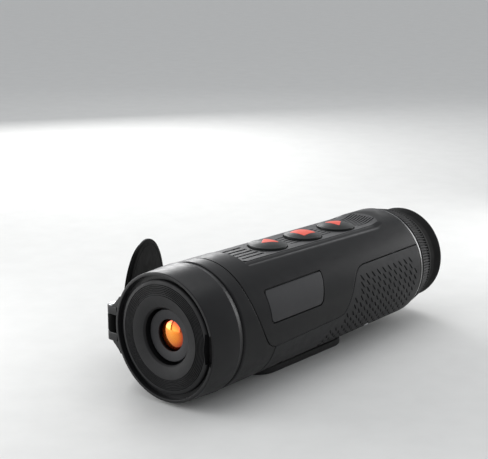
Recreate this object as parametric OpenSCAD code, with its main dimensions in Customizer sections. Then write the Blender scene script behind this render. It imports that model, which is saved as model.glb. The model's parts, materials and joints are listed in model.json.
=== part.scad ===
// Handheld thermal imaging monocular with a fold-back lens cover.
// Right-handed frame, millimetres. Origin: mouth of the tripod socket in the base pad.
// +Z up, +Y towards the eye. The optical axis is parallel to Y, axis_h above the origin.
// Modules are drawn in the optical frame: its origin is the centre of the front ring's face.

/* [Body] */
// Diameter of the front ring
ring_d = 60; // [59.8:0.1:60.2]
// Body radius just behind the front barrel
body_front_r = 30.6; // [30.5:0.1:30.8]
// Body radius at the rear collar
body_rear_r = 28.9; // [28.8:0.1:29.2]
// Distance from the front face to the rear edge of the casings
casing_end = 164; // [163:0.5:166]
// Wall thickness of the casings
wall = 2.2; // [2:0.1:2.3]
// Height of the optical axis above the base pad's flat face
axis_h = 31.5; // [31.3:0.1:32]
// Distance from the front face to the tripod socket
socket_y = 88; // [84:1:92]

/* [Objective] */
// Clear radius of the front lens opening
aperture_r = 7.47; // [7:0.01:7.8]
// Outer radius of the lens cell
cell_r = 12.1; // [11.8:0.1:12.3]
// Radius of the lens elements
lens_r = 9; // [8.8:0.1:9.2]

/* [Cover] */
// Radius of the flip cover
cover_r = 30; // [29.5:0.1:30]
// Thickness of the flip cover
cover_t = 1.7; // [1.4:0.1:1.9]
// Angle from closed to the parked position beside the barrel
cover_open = 242.4; // [200:0.1:242.4]

/* [Controls] */
// Radius of the round buttons
button_r = 9.5; // [9:0.1:9.6]
// Height of a button's crown above the deck
button_rise = 2.7; // [2.2:0.1:3]
// Distance from the front face to the first button
button_y = 73; // [72.5:0.5:74]
// Spacing of the buttons along the deck
button_pitch = 27.2; // [26:0.1:27.6]
// Slope of the top deck, falling towards the eye
deck_tilt = 1.25; // [1:0.05:1.4]

/* [Eyepiece] */
// Largest radius of the diopter ring
diopter_r = 28; // [27.5:0.1:28.2]
// Length of the diopter ring
diopter_len = 10.2; // [9.8:0.1:10.6]
// Length of the eyecup behind the diopter ring
eyecup_len = 13; // [11:0.5:16]

/* [Hidden] */
$fn = 96;
eps = 0.01;
gap = 0.12;
ring_r = ring_d / 2;
ring_groove_r = ring_r - 1.5;
bezel_r = ring_r - 3.7;
barrel_r = ring_r + 0.8;
barrel_len = 18.6;
spigot_r = body_front_r - wall - 0.2;
spigot_end = 26;
web_y = 9;
web_t = 2.5;
casing_start = barrel_len + 0.4;
taper = (body_front_r - body_rear_r) / (casing_end - casing_start);
function body_r(y) = body_front_r - taper * (y - casing_start);

deck_front = 42.3;
deck_z0 = 28;
plate_t = 1.2;
deck_wall = 1.4;
plate_front_w = 11.4;
plate_end_r = 16;
plate_end_y = 137.6;
ramp_y = 144.6;
ramp_slope = 0.28;
ramp_blend = 1.5;
function deck_z(y) = deck_z0 - tan(deck_tilt) * (y - deck_front);
function ramp(y) = let (s = y - ramp_y) ramp_slope * (s + sqrt(s * s + ramp_blend * ramp_blend)) / 2;
RAMP_STATIONS = [for (y = [136:2:160]) y];
BUTTONS = [for (i = [0:2]) button_y + i * button_pitch];
button_gap = 0.35;
button_travel = 0.6;
flange_r = button_r + 1.3;
flange_top = plate_t + deck_wall + 0.3;
stem_low = flange_top + 1.3;
switch_top = stem_low + button_travel + 0.15;
switch_h = 3;
board_top = switch_top + switch_h;

hinge_x = -(ring_r + 3.8);
hinge_y = 3.2;
knuckle_r = 3.15;
knuckle_h = 4;
ear_h = 4;
ear_end = knuckle_h + 0.3 + ear_h;
pin_r = 1.2;
pin_head_r = 2.5;
cover_front = -2.1;
latch_half = 13.5;
latch_in = ring_r - 4.5;
latch_out = ring_r - 0.7;

cell_front = 3.6;
cell_end = 30;
cell_lip = 4.8;
flange_y = web_y + web_t + 0.1;
cell_flange_r = 19;
screw_ring_r = 16.8;
front_lens_y = 5.2;
front_lens_t = 4;
spacer_end = 17;
rear_lens_t = 3.2;

shutter_y = 31;
flag_y = 33.2;
flag_hub = [18.5, -9];
flag_park = 48;
detector_y = 36;
chassis_front = 51;
chassis_rear = 146;
rail_x = 21;
board_z = 2.3;
battery_z = -9.8;
battery_r = 10.5;
battery_len = 70;
battery_y = 62;

collar_y = casing_end + 0.15;
collar_end = casing_end + 2.9;
tube_r = 21.3;
tube_bore_r = 19.3;
tube_end = collar_end + 14.1;
diopter_y = collar_end + 0.35;
diopter_end = diopter_y + diopter_len;
cell_mid = collar_end + 5.6;
cup_y = diopter_end + 0.4;
cup_end = cup_y + eyecup_len;

usb_y = 75;
usb_z = 5.6;
usb_half_y = 6;
usb_half_z = 4.4;
flap_t = 1.5;
strap_y = 150;
strap_half_y = 6.2;
strap_half_z = 4;
strap_floor = 20.6;
case_screw_x = 17;
screw_seat_z = -21.6;
CASE_SCREWS = [for (y = [60, 130]) for (s = [-1, 1]) [s * case_screw_x, y]];

// ---- placing helpers ----

// From the optical frame to the part's own frame
module place() {
    translate([0, -socket_y, axis_h]) children();
}

// Solid of revolution about the optical axis, from [radius, y] points
module spin(points) {
    rotate([-90, 0, 0]) rotate_extrude() polygon(points);
}

// Cylinder along the optical axis between two stations
module along(y0, y1, r) {
    translate([0, y0, 0]) rotate([-90, 0, 0]) cylinder(h = y1 - y0, r = r);
}

// Prism across the body, from side-view [y, z] points
module side_prism(points, width = 90) {
    rotate([90, 0, 90]) linear_extrude(width, center = true) polygon(points);
}

// Frame of the sloping deck: x across, y along, z out of it; y is the station on the axis
module on_deck(y = deck_front) {
    translate([0, y, deck_z(y)]) rotate([-deck_tilt, 0, 0]) children();
}

// Block centred on x and z between two stations
module slab(w, y0, y1, h, x = 0, z = 0) {
    translate([x - w / 2, y0, z - h / 2]) cube([w, y1 - y0, h]);
}

// ---- casing outlines ----

module casing_outer() {
    spin([[0, casing_start], [body_front_r - 0.5, casing_start],
        [body_r(casing_start + 0.5), casing_start + 0.5],
        [body_r(casing_end), casing_end], [0, casing_end]]);
}

module casing_inner() {
    spin([[0, casing_start - 1], [body_r(casing_start) - wall, casing_start - 1],
        [body_r(casing_end) - wall, casing_end + 1], [0, casing_end + 1]]);
}

// Front seam in side view, swept rearwards as it goes down
FRONT_SEAM = [[28.5, 40], [28.6, 20.4], [29.1, 16], [30.2, 10.4], [32.4, 4], [35.6, -2.6],
    [39.4, -7.2], [44, -9.4]];
// Line between the side skirt and the grip in side view
GRIP_SEAM = [[92, -7.6], [96.6, -6.4], [100.4, -1], [104.4, 6], [107.4, 10.2], [110.4, 12.6],
    [114.6, 13.8]];

module skirt_region(grow = 0) {
    side_prism(concat(
        [for (p = FRONT_SEAM) p + [gap - grow, -grow]],
        [for (p = GRIP_SEAM) p + [grow, gap - grow]],
        [[casing_end + 5, GRIP_SEAM[len(GRIP_SEAM) - 1][1] + gap - grow], [casing_end + 5, 40]]
    ));
}

module front_region(grow = 0) {
    side_prism(concat([[10, 40]], [for (p = FRONT_SEAM) p + [grow - gap, 0]], [[44 + grow - gap, -40],
        [10, -40]]));
}

module casing_shell() {
    difference() {
        casing_outer();
        casing_inner();
    }
}

// Everything above the deck, depth below it: the deck slopes, then ramps up into the top of the casing
module above_deck(depth) {
    side_prism(concat(
        [[162, 40], [deck_front, 40], [deck_front, deck_z(deck_front) - depth]],
        [for (y = RAMP_STATIONS) [y, deck_z(y) + ramp(y) - depth]],
        [[162, deck_z(162) + ramp(162) - depth]]
    ));
}

module plate_outline(inset = 0) {
    w = plate_front_w - inset;
    translate([-w, 4]) square([2 * w, plate_end_y - deck_front - 4]);
    translate([-w + 3, 0.6 + inset]) square([2 * w - 6, 8]);
    for (s = [-1, 1]) translate([s * (w - 3.4), 4 + inset]) circle(r = 3.4);
    intersection() {
        translate([0, plate_end_y - deck_front]) circle(r = plate_end_r - inset);
        translate([-w, 4]) square([2 * w, 120]);
    }
}

// Lengthwise grooves in the deck plate: between two stations, side by side
module deck_grooves(y0, y1, pitch, width, depth) {
    for (i = [-2:2]) intersection() {
        translate([i * pitch, 0, 0]) above_deck(depth);
        translate([i * pitch - width / 2, y0, 0]) cube([width, y1 - y0, 40]);
    }
}

module button_holes(r) {
    for (y = BUTTONS) on_deck(y) translate([0, 0, -8]) cylinder(h = 16, r = r);
}

// ---- objective group ----

module front_barrel() {
    color("#2b2b2d") difference() {
        union() {
            spin([[ring_groove_r, 0], [ring_r - 0.4, 0], [ring_r, 0.4], [barrel_r, barrel_len - 2.4],
                [barrel_r - 0.8, barrel_len], [spigot_r, barrel_len], [spigot_r, spigot_end],
                [spigot_r - 2.4, spigot_end], [spigot_r - 2.4, web_y + web_t],
                [cell_r + 2.5, web_y + web_t], [cell_r + 2.5, web_y],
                [bezel_r + 0.1, web_y], [bezel_r + 0.1, 2.8], [ring_groove_r, 2.8]]);
            hinge_ears();
        }
        translate([hinge_x, hinge_y, 0]) {
            cylinder(h = 30, r = pin_r + 0.05, center = true);
            for (s = [-1, 1]) translate([0, 0, s * (ear_end + 5)])
                cylinder(h = 10, r = pin_head_r + 0.2, center = true);
        }
        latch_slot();
        screw_holes(0.95);
        spin([[spigot_r - 0.9, 21.9], [spigot_r + 1, 21.9], [spigot_r + 1, 23.5], [spigot_r - 0.9, 23.5]]);
    }
}

// Two ears with webs that run out into the ring
module hinge_ears() {
    difference() {
        for (s = [-1, 1]) {
            translate([hinge_x, hinge_y, s * (knuckle_h + 0.3 + ear_h / 2)]) {
                cylinder(h = ear_h, r = knuckle_r, center = true);
                translate([0, -knuckle_r, -ear_h / 2]) cube([8, 2 * knuckle_r, ear_h]);
            }
            mirror([0, 0, s < 0 ? 1 : 0]) rotate([-90, 0, 0]) translate([0, 0, hinge_y - knuckle_r])
                linear_extrude(2 * knuckle_r - 0.6)
                polygon([[hinge_x + 0.6, -8], [-30.9, -10.1], [-28.9, -12], [-26.9, -14.6], [-26.5, -8]]);
        }
        along(-1, barrel_len, ring_r - 0.6);
    }
}

module latch_slot() {
    rotate([-90, 0, 0]) translate([0, 0, -1]) rotate([0, 0, -latch_half])
        rotate_extrude(angle = 2 * latch_half) translate([latch_in, 0]) square([latch_out - latch_in, 4.6]);
}

module screw_holes(r) {
    for (i = [0:3]) rotate([0, 45 + 90 * i, 0]) translate([screw_ring_r, 0, 0])
        along(web_y - 1, flange_y + 5, r);
}

// Ridged ring around the lens, falling inwards to the lens cell
module front_bezel() {
    ridges = 6;
    ridge_in = 19.9;
    pitch = 0.76;
    color("#333336") difference() {
        spin(concat(
            [[cell_r + 1.84, 2.9], [19.6, 0.2], [ridge_in, 0.5]],
            [for (i = [0:ridges - 1]) each [
                [ridge_in + (i + 0.25) * pitch, 0.5 + 0.03 * i],
                    [ridge_in + (i + 0.45) * pitch, 0.85 + 0.03 * i],
                [ridge_in + (i + 0.75) * pitch, 0.85 + 0.03 * i],
                    [ridge_in + (i + 0.95) * pitch, 0.5 + 0.03 * i]]],
            [[25.9, 1], [bezel_r, 1.4], [bezel_r, web_y - 0.1], [cell_r + 1.84, web_y - 0.1]]));
        latch_slot();
    }
}

module lens_cell() {
    color("#242426") difference() {
        spin([[aperture_r, cell_lip], [cell_r, cell_front], [cell_r, flange_y], [cell_flange_r, flange_y],
            [cell_flange_r, flange_y + 2.4], [cell_r, flange_y + 2.4], [cell_r, cell_end],
                [lens_r + 0.05, cell_end],
            [lens_r + 0.05, cell_lip + 0.9], [aperture_r, cell_lip + 0.9]]);
        screw_holes(1.1);
    }
}

module cell_screws() {
    head_y = flange_y + 2.4;
    color("silver") for (i = [0:3]) rotate([0, 45 + 90 * i, 0]) translate([screw_ring_r, 0, 0]) {
        along(web_y + 0.2, head_y, 0.9);
        difference() {
            along(head_y, head_y + 1.3, 1.8);
            along(head_y + 0.6, head_y + 2, 0.8);
        }
    }
}

// Meniscus element: apex at y, bulging towards the scene
module meniscus(y, r, t, front_r, back_r) {
    difference() {
        intersection() {
            along(y - 1, y + t, r);
            translate([0, y + front_r, 0]) sphere(r = front_r, $fn = 180);
        }
        translate([0, y + t - 0.8 + back_r, 0]) sphere(r = back_r, $fn = 180);
    }
}

module front_lens() {
    color("darkorange") meniscus(front_lens_y, lens_r, front_lens_t, 24, 48);
}

module objective_oring() {
    color("#1a1a1a") translate([0, cell_lip + 1.35, 0]) rotate([-90, 0, 0])
        rotate_extrude() translate([lens_r - 0.75, 0]) circle(r = 0.4);
}

module lens_spacer() {
    y0 = front_lens_y + front_lens_t + 0.05;
    color("#202020") spin([[lens_r - 1.3, y0], [lens_r, y0], [lens_r, spacer_end],
        [lens_r - 1.3, spacer_end]]);
}

module rear_lens() {
    color("darkslategray") meniscus(spacer_end - 0.6, lens_r, rear_lens_t + 0.6, 52, 30);
}

module lens_retainer() {
    y0 = spacer_end + rear_lens_t + 0.05;
    color("#303030") difference() {
        spin([[lens_r - 1.8, y0], [lens_r, y0], [lens_r, y0 + 2], [lens_r - 1.8, y0 + 2]]);
        slab(2 * lens_r + 2, y0 + 1, y0 + 3, 1.2);
    }
}

module barrel_seal() {
    color("#151515") spin([[spigot_r - 0.88, 22], [spigot_r + 0.12, 22], [spigot_r + 0.12, 23.4],
        [spigot_r - 0.88, 23.4]]);
}

// ---- casings ----

module front_collar() {
    color("#2a2a2c") intersection() {
        casing_shell();
        front_region();
    }
}

module upper_cover() {
    color("#2d2d2f") difference() {
        intersection() {
            difference() {
                casing_outer();
                difference() {
                    casing_inner();
                    on_deck() translate([-30, -20, -plate_t - deck_wall]) cube([60, 150, 20]);
                }
            }
            skirt_region();
        }
        above_deck(plate_t);
        button_holes(button_r + button_gap);
        label_pocket(0);
        usb_window(0.3);
    }
}

module lower_housing() {
    color("#262628") difference() {
        intersection() {
            union() {
                casing_shell();
                strap_box();
                for (p = CASE_SCREWS) translate([p[0], p[1], -26]) cylinder(h = 23.9, r = 3.1);
            }
            along(casing_start, casing_end, body_front_r);
        }
        skirt_region(2 * gap);
        front_region(gap);
        translate([0, socket_y, -40]) cylinder(h = 20, r = 5.05);
        strap_pocket();
        for (p = CASE_SCREWS) translate([p[0], p[1], 0]) {
            translate([0, 0, -30]) cylinder(h = 30, r = 1.3);
            translate([0, 0, -35]) cylinder(h = 35 + screw_seat_z, r = 2.4);
        }
    }
}

// Thick wall behind the lanyard recess
module strap_box() {
    translate([-body_r(strap_y) + 1, strap_y - strap_half_y - 1.4, -strap_half_z - 1.4])
        cube([body_r(strap_y) - strap_floor + 0.2, 2 * strap_half_y + 2.8, 2 * strap_half_z + 2.8]);
}

module strap_pocket() {
    translate([-40, strap_y - strap_half_y, -strap_half_z])
        cube([40 - strap_floor - 0.6, 2 * strap_half_y, 2 * strap_half_z]);
    translate([-27.7, strap_y, 0]) cylinder(h = 2 * strap_half_z + 2, r = 1.15, center = true);
}

module lanyard_bar() {
    color("silver") translate([-27.7, strap_y, 0])
        cylinder(h = 2 * strap_half_z + 1.6, r = 1.1, center = true);
}

module deck_plate() {
    color("#3a3a3d") difference() {
        intersection() {
            on_deck() translate([0, 0, -5]) linear_extrude(12) plate_outline(0.2);
            above_deck(plate_t - eps);
        }
        above_deck(0);
        button_holes(button_r + button_gap);
        deck_grooves(45.3, 61.3, 3.6, 1.5, 0.6);
        deck_grooves(84, 152, 2.7, 0.8, 0.5);
    }
}

LABEL = [[40.4, 16.2], [41.4, 17.2], [81.8, 17.2], [82.8, 16.2], [81.6, 12.4], [78.6, 4.6], [76.8, 3.1],
    [41.2, 3.1], [40.2, 4.2]];

module label_pocket(inset) {
    difference() {
        intersection() {
            translate([15, 0, 0]) side_prism(LABEL, 40);
            casing_outer();
        }
        spin([[0, 0], [body_r(0) - 0.6, 0], [body_r(120) - 0.6, 120], [0, 120]]);
    }
}

module label_plate() {
    color("#353538") difference() {
        label_pocket(0);
        difference() {
            casing_outer();
            spin([[0, 0], [body_r(0) - 0.1, 0], [body_r(120) - 0.1, 120], [0, 120]]);
        }
    }
}

module rear_collar() {
    s = body_r(casing_end) - wall - 0.25;
    color("#2b2b2d") difference() {
        spin([[body_rear_r, collar_y], [body_rear_r, collar_y + 1.1], [body_rear_r - 1, collar_end],
            [tube_r + 0.05, collar_end], [tube_r + 0.05, collar_end - 3.9], [s - 2, collar_end - 3.9],
            [s - 2, collar_y - 6], [s, collar_y - 6], [s, collar_y]]);
        deck_relief();
    }
}

// Flat that keeps the rear spigot clear of the deck's inner wall
module deck_relief() {
    translate([-30, casing_end - 20, deck_z(casing_end) - plate_t - deck_wall - 0.2]) cube([60, 20, 20]);
}

// ---- eyepiece ----

module eyepiece_tube() {
    color("#202022") difference() {
        spin([[tube_bore_r, collar_end - 6.2], [23.8, collar_end - 6.2], [23.8, collar_end - 4],
            [tube_r, collar_end - 4],
            [tube_r, tube_end], [tube_bore_r, tube_end]]);
        translate([tube_r, cell_mid, 0]) slab(8, -3, 3, 2.7);
        deck_relief();
    }
}

module diopter_ring() {
    grooves = 36;
    knurl_lean = 12;
    color("#29292b") difference() {
        spin([[tube_r + 0.08, diopter_y], [diopter_r - 0.5, diopter_y], [diopter_r, diopter_y + 0.5],
            [diopter_r - 0.4, diopter_y + 3], [diopter_r - 1.7, diopter_end - 1],
                [diopter_r - 2.4, diopter_end],
            [tube_r + 0.08, diopter_end], [tube_r + 0.08, cell_mid + 3.2], [tube_r + 1.9, cell_mid + 3.2],
            [tube_r + 1.9, cell_mid - 3.2], [tube_r + 0.08, cell_mid - 3.2]]);
        for (i = [0:grooves - 1]) rotate([0, i * 360 / grooves, 0])
            translate([diopter_r - 0.7, diopter_y + 1.4, -0.5]) rotate([0, 0, knurl_lean])
                cube([3, diopter_len + 2, 1]);
    }
}

module eyepiece_cell() {
    color("#1c1c1e") {
        spin([[17, cell_mid - 5.4], [tube_bore_r - 0.06, cell_mid - 5.4],
            [tube_bore_r - 0.06, cell_mid + 5.4],
            [15.6, cell_mid + 5.4], [15.6, cell_mid + 4.6], [17, cell_mid + 4.6]]);
        translate([tube_bore_r - 1, cell_mid, 0]) rotate([0, 90, 0])
            cylinder(h = tube_r - tube_bore_r + 2.2, r = 1);
    }
}

module eyepiece_lens_a() {
    color("lightsteelblue") meniscus(cell_mid - 4.6, 16.95, 4.4, 60, 90);
}

module eyepiece_lens_b() {
    color("lightsteelblue") meniscus(cell_mid + 0.1, 16.95, 4.2, 60, 120);
}

module eyecup() {
    color("#1b1b1b") spin([[tube_r, cup_y], [25, cup_y], [25.2, cup_y + 0.8], [23.9, cup_y + 3.6],
        [23.7, cup_y + 7], [24.7, cup_end - 1.6], [24.4, cup_end - 0.4], [23.6, cup_end],
            [22.7, cup_end - 0.6],
        [21, cup_y + 7], [19.6, tube_end + 1.2], [17.4, tube_end + 0.9], [17.4, tube_end],
            [tube_r, tube_end]]);
}

// ---- sensor group ----

module shutter_frame() {
    color("gray") difference() {
        intersection() {
            slab(46, shutter_y, shutter_y + 1.6, 34, 1, -1);
            along(shutter_y - 1, shutter_y + 3, 26.5);
        }
        along(shutter_y - 1, shutter_y + 3, 7.6);
        translate([flag_hub[0], 0, flag_hub[1]]) along(shutter_y - 1, shutter_y + 3, 1.05);
    }
}

module shutter_solenoid() {
    color("#b08d57") translate([flag_hub[0], 0, flag_hub[1]]) {
        slab(8, flag_y + 1.3, flag_y + 9.5, 8, 1.3, 0);
        along(shutter_y + 0.2, flag_y + 1.4, 1);
    }
}

// Blade parked beside the light path; it swings across it to recalibrate the sensor
module shutter_flag() {
    reach = norm(flag_hub);
    hub_angle = atan2(-flag_hub[1], -flag_hub[0]);
    color("#4a4a4a") translate([flag_hub[0], 0, flag_hub[1]]) difference() {
        union() {
            along(flag_y - 0.3, flag_y + 0.9, 2.6);
            rotate([0, -(hub_angle - flag_park), 0]) {
                slab(reach, flag_y, flag_y + 0.6, 2.6, reach / 2, 0);
                translate([reach, 0, 0]) along(flag_y, flag_y + 0.6, 8.2);
            }
        }
        along(flag_y - 1, flag_y + 2, 1.06);
    }
}

module detector_window() {
    color("#3c4a4a") along(detector_y, detector_y + 1, 7.2);
}

module detector_package() {
    color("#c9b27a") difference() {
        slab(24, detector_y + 0.3, detector_y + 5, 24);
        along(detector_y, detector_y + 1.05, 7.25);
        along(detector_y, detector_y + 3, 5.5);
    }
}

module sensor_board() {
    color("darkgreen") slab(30, detector_y + 5.1, detector_y + 6.7, 34);
}

module sensor_heatsink() {
    y0 = detector_y + 6.8;
    color("silver") {
        slab(28, y0, y0 + 1.8, 30);
        for (i = [-3:3]) slab(1.2, y0 + 1.7, y0 + 7, 30, i * 4);
    }
}

// ---- inner frame and electronics ----

// Two end plates joined by two rails; the top is cut flat under the keypad
module chassis() {
    color("#8c8f93") difference() {
        union() {
            for (y = [chassis_front, chassis_rear]) difference() {
                along(y, y + 2, y < 100 ? 27.2 : 26);
                along(y - 1, y + 3, y < 100 ? 12 : 9);
            }
            for (s = [-1, 1]) slab(2.4, chassis_front + 1, chassis_rear + 1, 4, s * rail_x, 0);
            for (p = CASE_SCREWS) slab(8, p[1] - 3.4, p[1] + 3.4, 4, p[0] * 1.05, 0);
        }
        for (p = CASE_SCREWS) translate([p[0], p[1], -3]) cylinder(h = 6, r = 1.25);
        translate([-40, 0, 17]) cube([80, 200, 30]);
        slab(12, strap_y - strap_half_y - 2, chassis_rear + 3, 16, -25, 0);
    }
}

module main_board() {
    color("darkgreen") difference() {
        slab(46, chassis_front + 2.4, chassis_rear - 0.4, 1.6, 0, board_z + 0.8);
        slab(12, strap_y - strap_half_y - 2, 200, 10, -25, board_z);
    }
}

module processor_shield() {
    color("silver") slab(26, 88, 114, 3, 0, board_z + 3.15);
}

module battery_cell() {
    color("seagreen") translate([0, 0, battery_z]) {
        along(battery_y, battery_y + battery_len, battery_r);
        along(battery_y - 1.2, battery_y + 0.1, 4);
    }
}

module battery_cradle() {
    color("#3b3b3b") translate([0, 0, battery_z]) difference() {
        along(battery_y - 2.8, battery_y + battery_len + 1.6, battery_r + 1.5);
        along(battery_y - 1.3, battery_y + battery_len + 0.1, battery_r + 0.1);
        translate([-20, 0, 0]) cube([40, 200, 20]);
    }
}

module keypad_board() {
    color("darkgreen") on_deck(BUTTONS[1]) translate([-11, -button_pitch - 12, -board_top - 1.2])
        cube([22, 2 * button_pitch + 24, 1.2]);
}

module tact_switches() {
    color("#d8d8d0") for (y = BUTTONS) on_deck(y) translate([0, 0, -board_top + 0.02]) {
        translate([-3, -3, 0]) cube([6, 6, switch_h - 1]);
        cylinder(h = switch_h - 0.02, r = 1.7);
    }
}

module display_board() {
    color("darkgreen") slab(30, chassis_rear + 2.2, chassis_rear + 3.4, 24);
}

module display_module() {
    color("#101018") slab(22, chassis_rear + 3.5, chassis_rear + 6.4, 18);
}

module display_shroud() {
    y0 = chassis_rear + 3.5;
    y1 = collar_end - 6.4;
    color("#161616") spin([[14.3, y0], [16, y0], [19.4, y1], [18, y1]]);
}

module usb_port() {
    color("silver") difference() {
        translate([-26.4, usb_y - 4.5, usb_z - 1.6]) cube([7.4, 9, 3.2]);
        translate([-27, usb_y - 4.15, usb_z - 1.25]) cube([6, 8.3, 2.5]);
    }
}

// Window in the left skirt in front of the charging port
module usb_window(grow) {
    side_grow = usb_half_z + grow;
    translate([-50, usb_y - usb_half_y - grow, usb_z - side_grow])
        cube([35, 2 * (usb_half_y + grow), 2 * side_grow]);
    usb_pin_line(flap_t / 2 + 0.35, 2 * (usb_half_y + grow));
}

module usb_pin_line(r, length) {
    translate([-(body_r(usb_y) - flap_t / 2), usb_y, usb_z - usb_half_z]) rotate([90, 0, 0])
        cylinder(h = length, r = r, center = true);
}

module usb_flap() {
    color("#1f1f1f") {
        intersection() {
            difference() {
                casing_outer();
                spin([[0, 0], [body_r(0) - flap_t, 0], [body_r(120) - flap_t, 120], [0, 120]]);
            }
            translate([-50, usb_y - usb_half_y, usb_z - usb_half_z])
                cube([35, 2 * usb_half_y, 2 * usb_half_z]);
        }
        usb_pin_line(flap_t / 2, 2 * usb_half_y);
    }
}

// ---- base ----

module tripod_insert() {
    color("goldenrod") translate([0, socket_y, -axis_h]) difference() {
        union() {
            cylinder(h = 9, r = 5);
            cylinder(h = 1.1, r = 6);
        }
        translate([0, 0, -1]) cylinder(h = 8.5, r = 2.6);
    }
}

module base_pad() {
    half_w = 12;
    front = 52;
    back = 124;
    color("#1a1a1a") difference() {
        translate([0, 0, -axis_h]) linear_extrude(6) {
            translate([-half_w, front + half_w]) square([2 * half_w, back - front - 2 * half_w]);
            for (y = [front + half_w, back - half_w]) translate([0, y]) circle(r = half_w);
        }
        translate([0, 0, -0.05]) casing_outer();
        translate([0, socket_y, -axis_h - 1]) cylinder(h = 10, r = 6.1);
    }
}

module case_screws() {
    color("silver") for (p = CASE_SCREWS) translate([p[0], p[1], screw_seat_z]) {
        difference() {
            translate([0, 0, -1.4]) cylinder(h = 1.4, r = 2.2);
            translate([0, 0, -2]) cylinder(h = 1.3, r = 1);
        }
        translate([0, 0, -0.1]) cylinder(h = 23, r = 1.2);
    }
}

// ---- flip cover ----

module cover_pin() {
    color("silver") translate([hinge_x, hinge_y, 0]) {
        cylinder(h = 2 * ear_end, r = pin_r, center = true);
        translate([0, 0, ear_end]) cylinder(h = 0.8, r = pin_head_r);
        translate([0, 0, -ear_end - 0.6]) cylinder(h = 0.6, r = 1.9);
    }
}

module lens_cover_closed() {
    difference() {
        union() {
            spin([[0, cover_front], [cover_r - 0.6, cover_front], [cover_r, cover_front + 0.6],
                [cover_r, cover_front + cover_t], [0, cover_front + cover_t]]);
            spin([[bezel_r + 0.5, cover_front + 0.5], [ring_groove_r - 0.3, cover_front + 0.5],
                [ring_groove_r - 0.3, 1.2], [bezel_r + 0.5, 1.2]]);
            translate([hinge_x, hinge_y, 0]) cylinder(h = 2 * knuckle_h, r = knuckle_r, center = true);
            translate([hinge_x, cover_front, -knuckle_h])
                cube([-hinge_x - ring_r - 0.4, hinge_y - cover_front, 2 * knuckle_h]);
            translate([hinge_x, cover_front, -knuckle_h]) cube([6, cover_t, 2 * knuckle_h]);
            translate([ring_r - 3, cover_front, -4]) cube([4.2, cover_t, 8]);
            translate([ring_r - 3, cover_front, -4]) cube([1.9, 4.2, 8]);
        }
        translate([hinge_x, hinge_y, 0]) cylinder(h = 30, r = pin_r + 0.07, center = true);
    }
}

// Swings the closed cover about its pin to the parked position
module park_cover() {
    translate([hinge_x, hinge_y, 0]) rotate([0, 0, -cover_open]) translate([-hinge_x, -hinge_y, 0])
        children();
}

module lens_cover() {
    color("#252527") difference() {
        park_cover() lens_cover_closed();
        along(-5, 70, barrel_r - 0.25);
    }
}

// ---- buttons ----

module dome(shrink = 0) {
    dome_r = (pow(button_r, 2) + pow(button_rise - 0.9, 2)) / (2 * (button_rise - 0.9));
    intersection() {
        translate([0, 0, button_rise - dome_r - shrink]) sphere(r = dome_r);
        translate([0, 0, -2]) cylinder(h = button_rise + 4, r = button_r);
    }
}

module button_cap(y, depth = 0.4) {
    color("#333336") on_deck(y) difference() {
        union() {
            dome();
            translate([0, 0, -flange_top - 1]) cylinder(h = flange_top, r = button_r);
            translate([0, 0, -flange_top - 1]) cylinder(h = 1, r = flange_r);
            translate([0, 0, -stem_low]) cylinder(h = stem_low, r = 2);
        }
        difference() {
            translate([0, 0, 0.5]) linear_extrude(5) children();
            dome(depth);
        }
    }
}

// Coloured inlay that stands level with the crown
module symbol(y, depth = 0.38) {
    color("#e06a5c") on_deck(y) difference() {
        intersection() {
            dome();
            translate([0, 0, 0.5]) linear_extrude(5) children();
        }
        dome(depth);
    }
}

module triangle_mark(direction) {
    polygon([[-4.6, -direction * 3], [4.6, -direction * 3], [0, direction * 4.4]]);
}

module square_mark() {
    square(8.4, center = true);
}

module button_up() {
    button_cap(BUTTONS[0]) triangle_mark(-1);
}

module button_menu() {
    button_cap(BUTTONS[1]) square_mark();
}

module button_down() {
    button_cap(BUTTONS[2]) triangle_mark(1);
}

module symbol_up() {
    symbol(BUTTONS[0]) triangle_mark(-1);
}

module symbol_menu() {
    symbol(BUTTONS[1]) square_mark();
}

module symbol_down() {
    symbol(BUTTONS[2]) triangle_mark(1);
}

place() front_barrel();
place() front_bezel();
place() lens_cell();
place() cell_screws();
place() front_lens();
place() objective_oring();
place() lens_spacer();
place() rear_lens();
place() lens_retainer();
place() barrel_seal();
place() front_collar();
place() upper_cover();
place() lower_housing();
place() deck_plate();
place() label_plate();
place() rear_collar();
place() eyepiece_tube();
place() eyecup();
place() shutter_frame();
place() shutter_solenoid();
place() detector_window();
place() detector_package();
place() sensor_board();
place() sensor_heatsink();
place() chassis();
place() main_board();
place() processor_shield();
place() battery_cell();
place() battery_cradle();
place() keypad_board();
place() tact_switches();
place() display_board();
place() display_module();
place() display_shroud();
place() usb_port();
place() tripod_insert();
place() base_pad();
place() lanyard_bar();
place() case_screws();
place() cover_pin();
place() lens_cover();
place() button_up();
place() button_menu();
place() button_down();
place() symbol_up();
place() symbol_menu();
place() symbol_down();
place() diopter_ring();
place() eyepiece_cell();
place() eyepiece_lens_a();
place() eyepiece_lens_b();
place() shutter_flag();
place() usb_flap();
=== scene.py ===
"""Looks of a handheld thermal monocular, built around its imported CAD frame.

Meshes are made in millimetres in the optical frame (origin at the centre of the front ring's
face, +X to the right-hand side, +Y towards the eye, +Z up) and land in the row frame, in metres,
through to_row. Lengths without another unit are millimetres.
"""
import json
import math

import bmesh
import bpy
import numpy as np
from mathutils import Matrix, Vector

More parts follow.
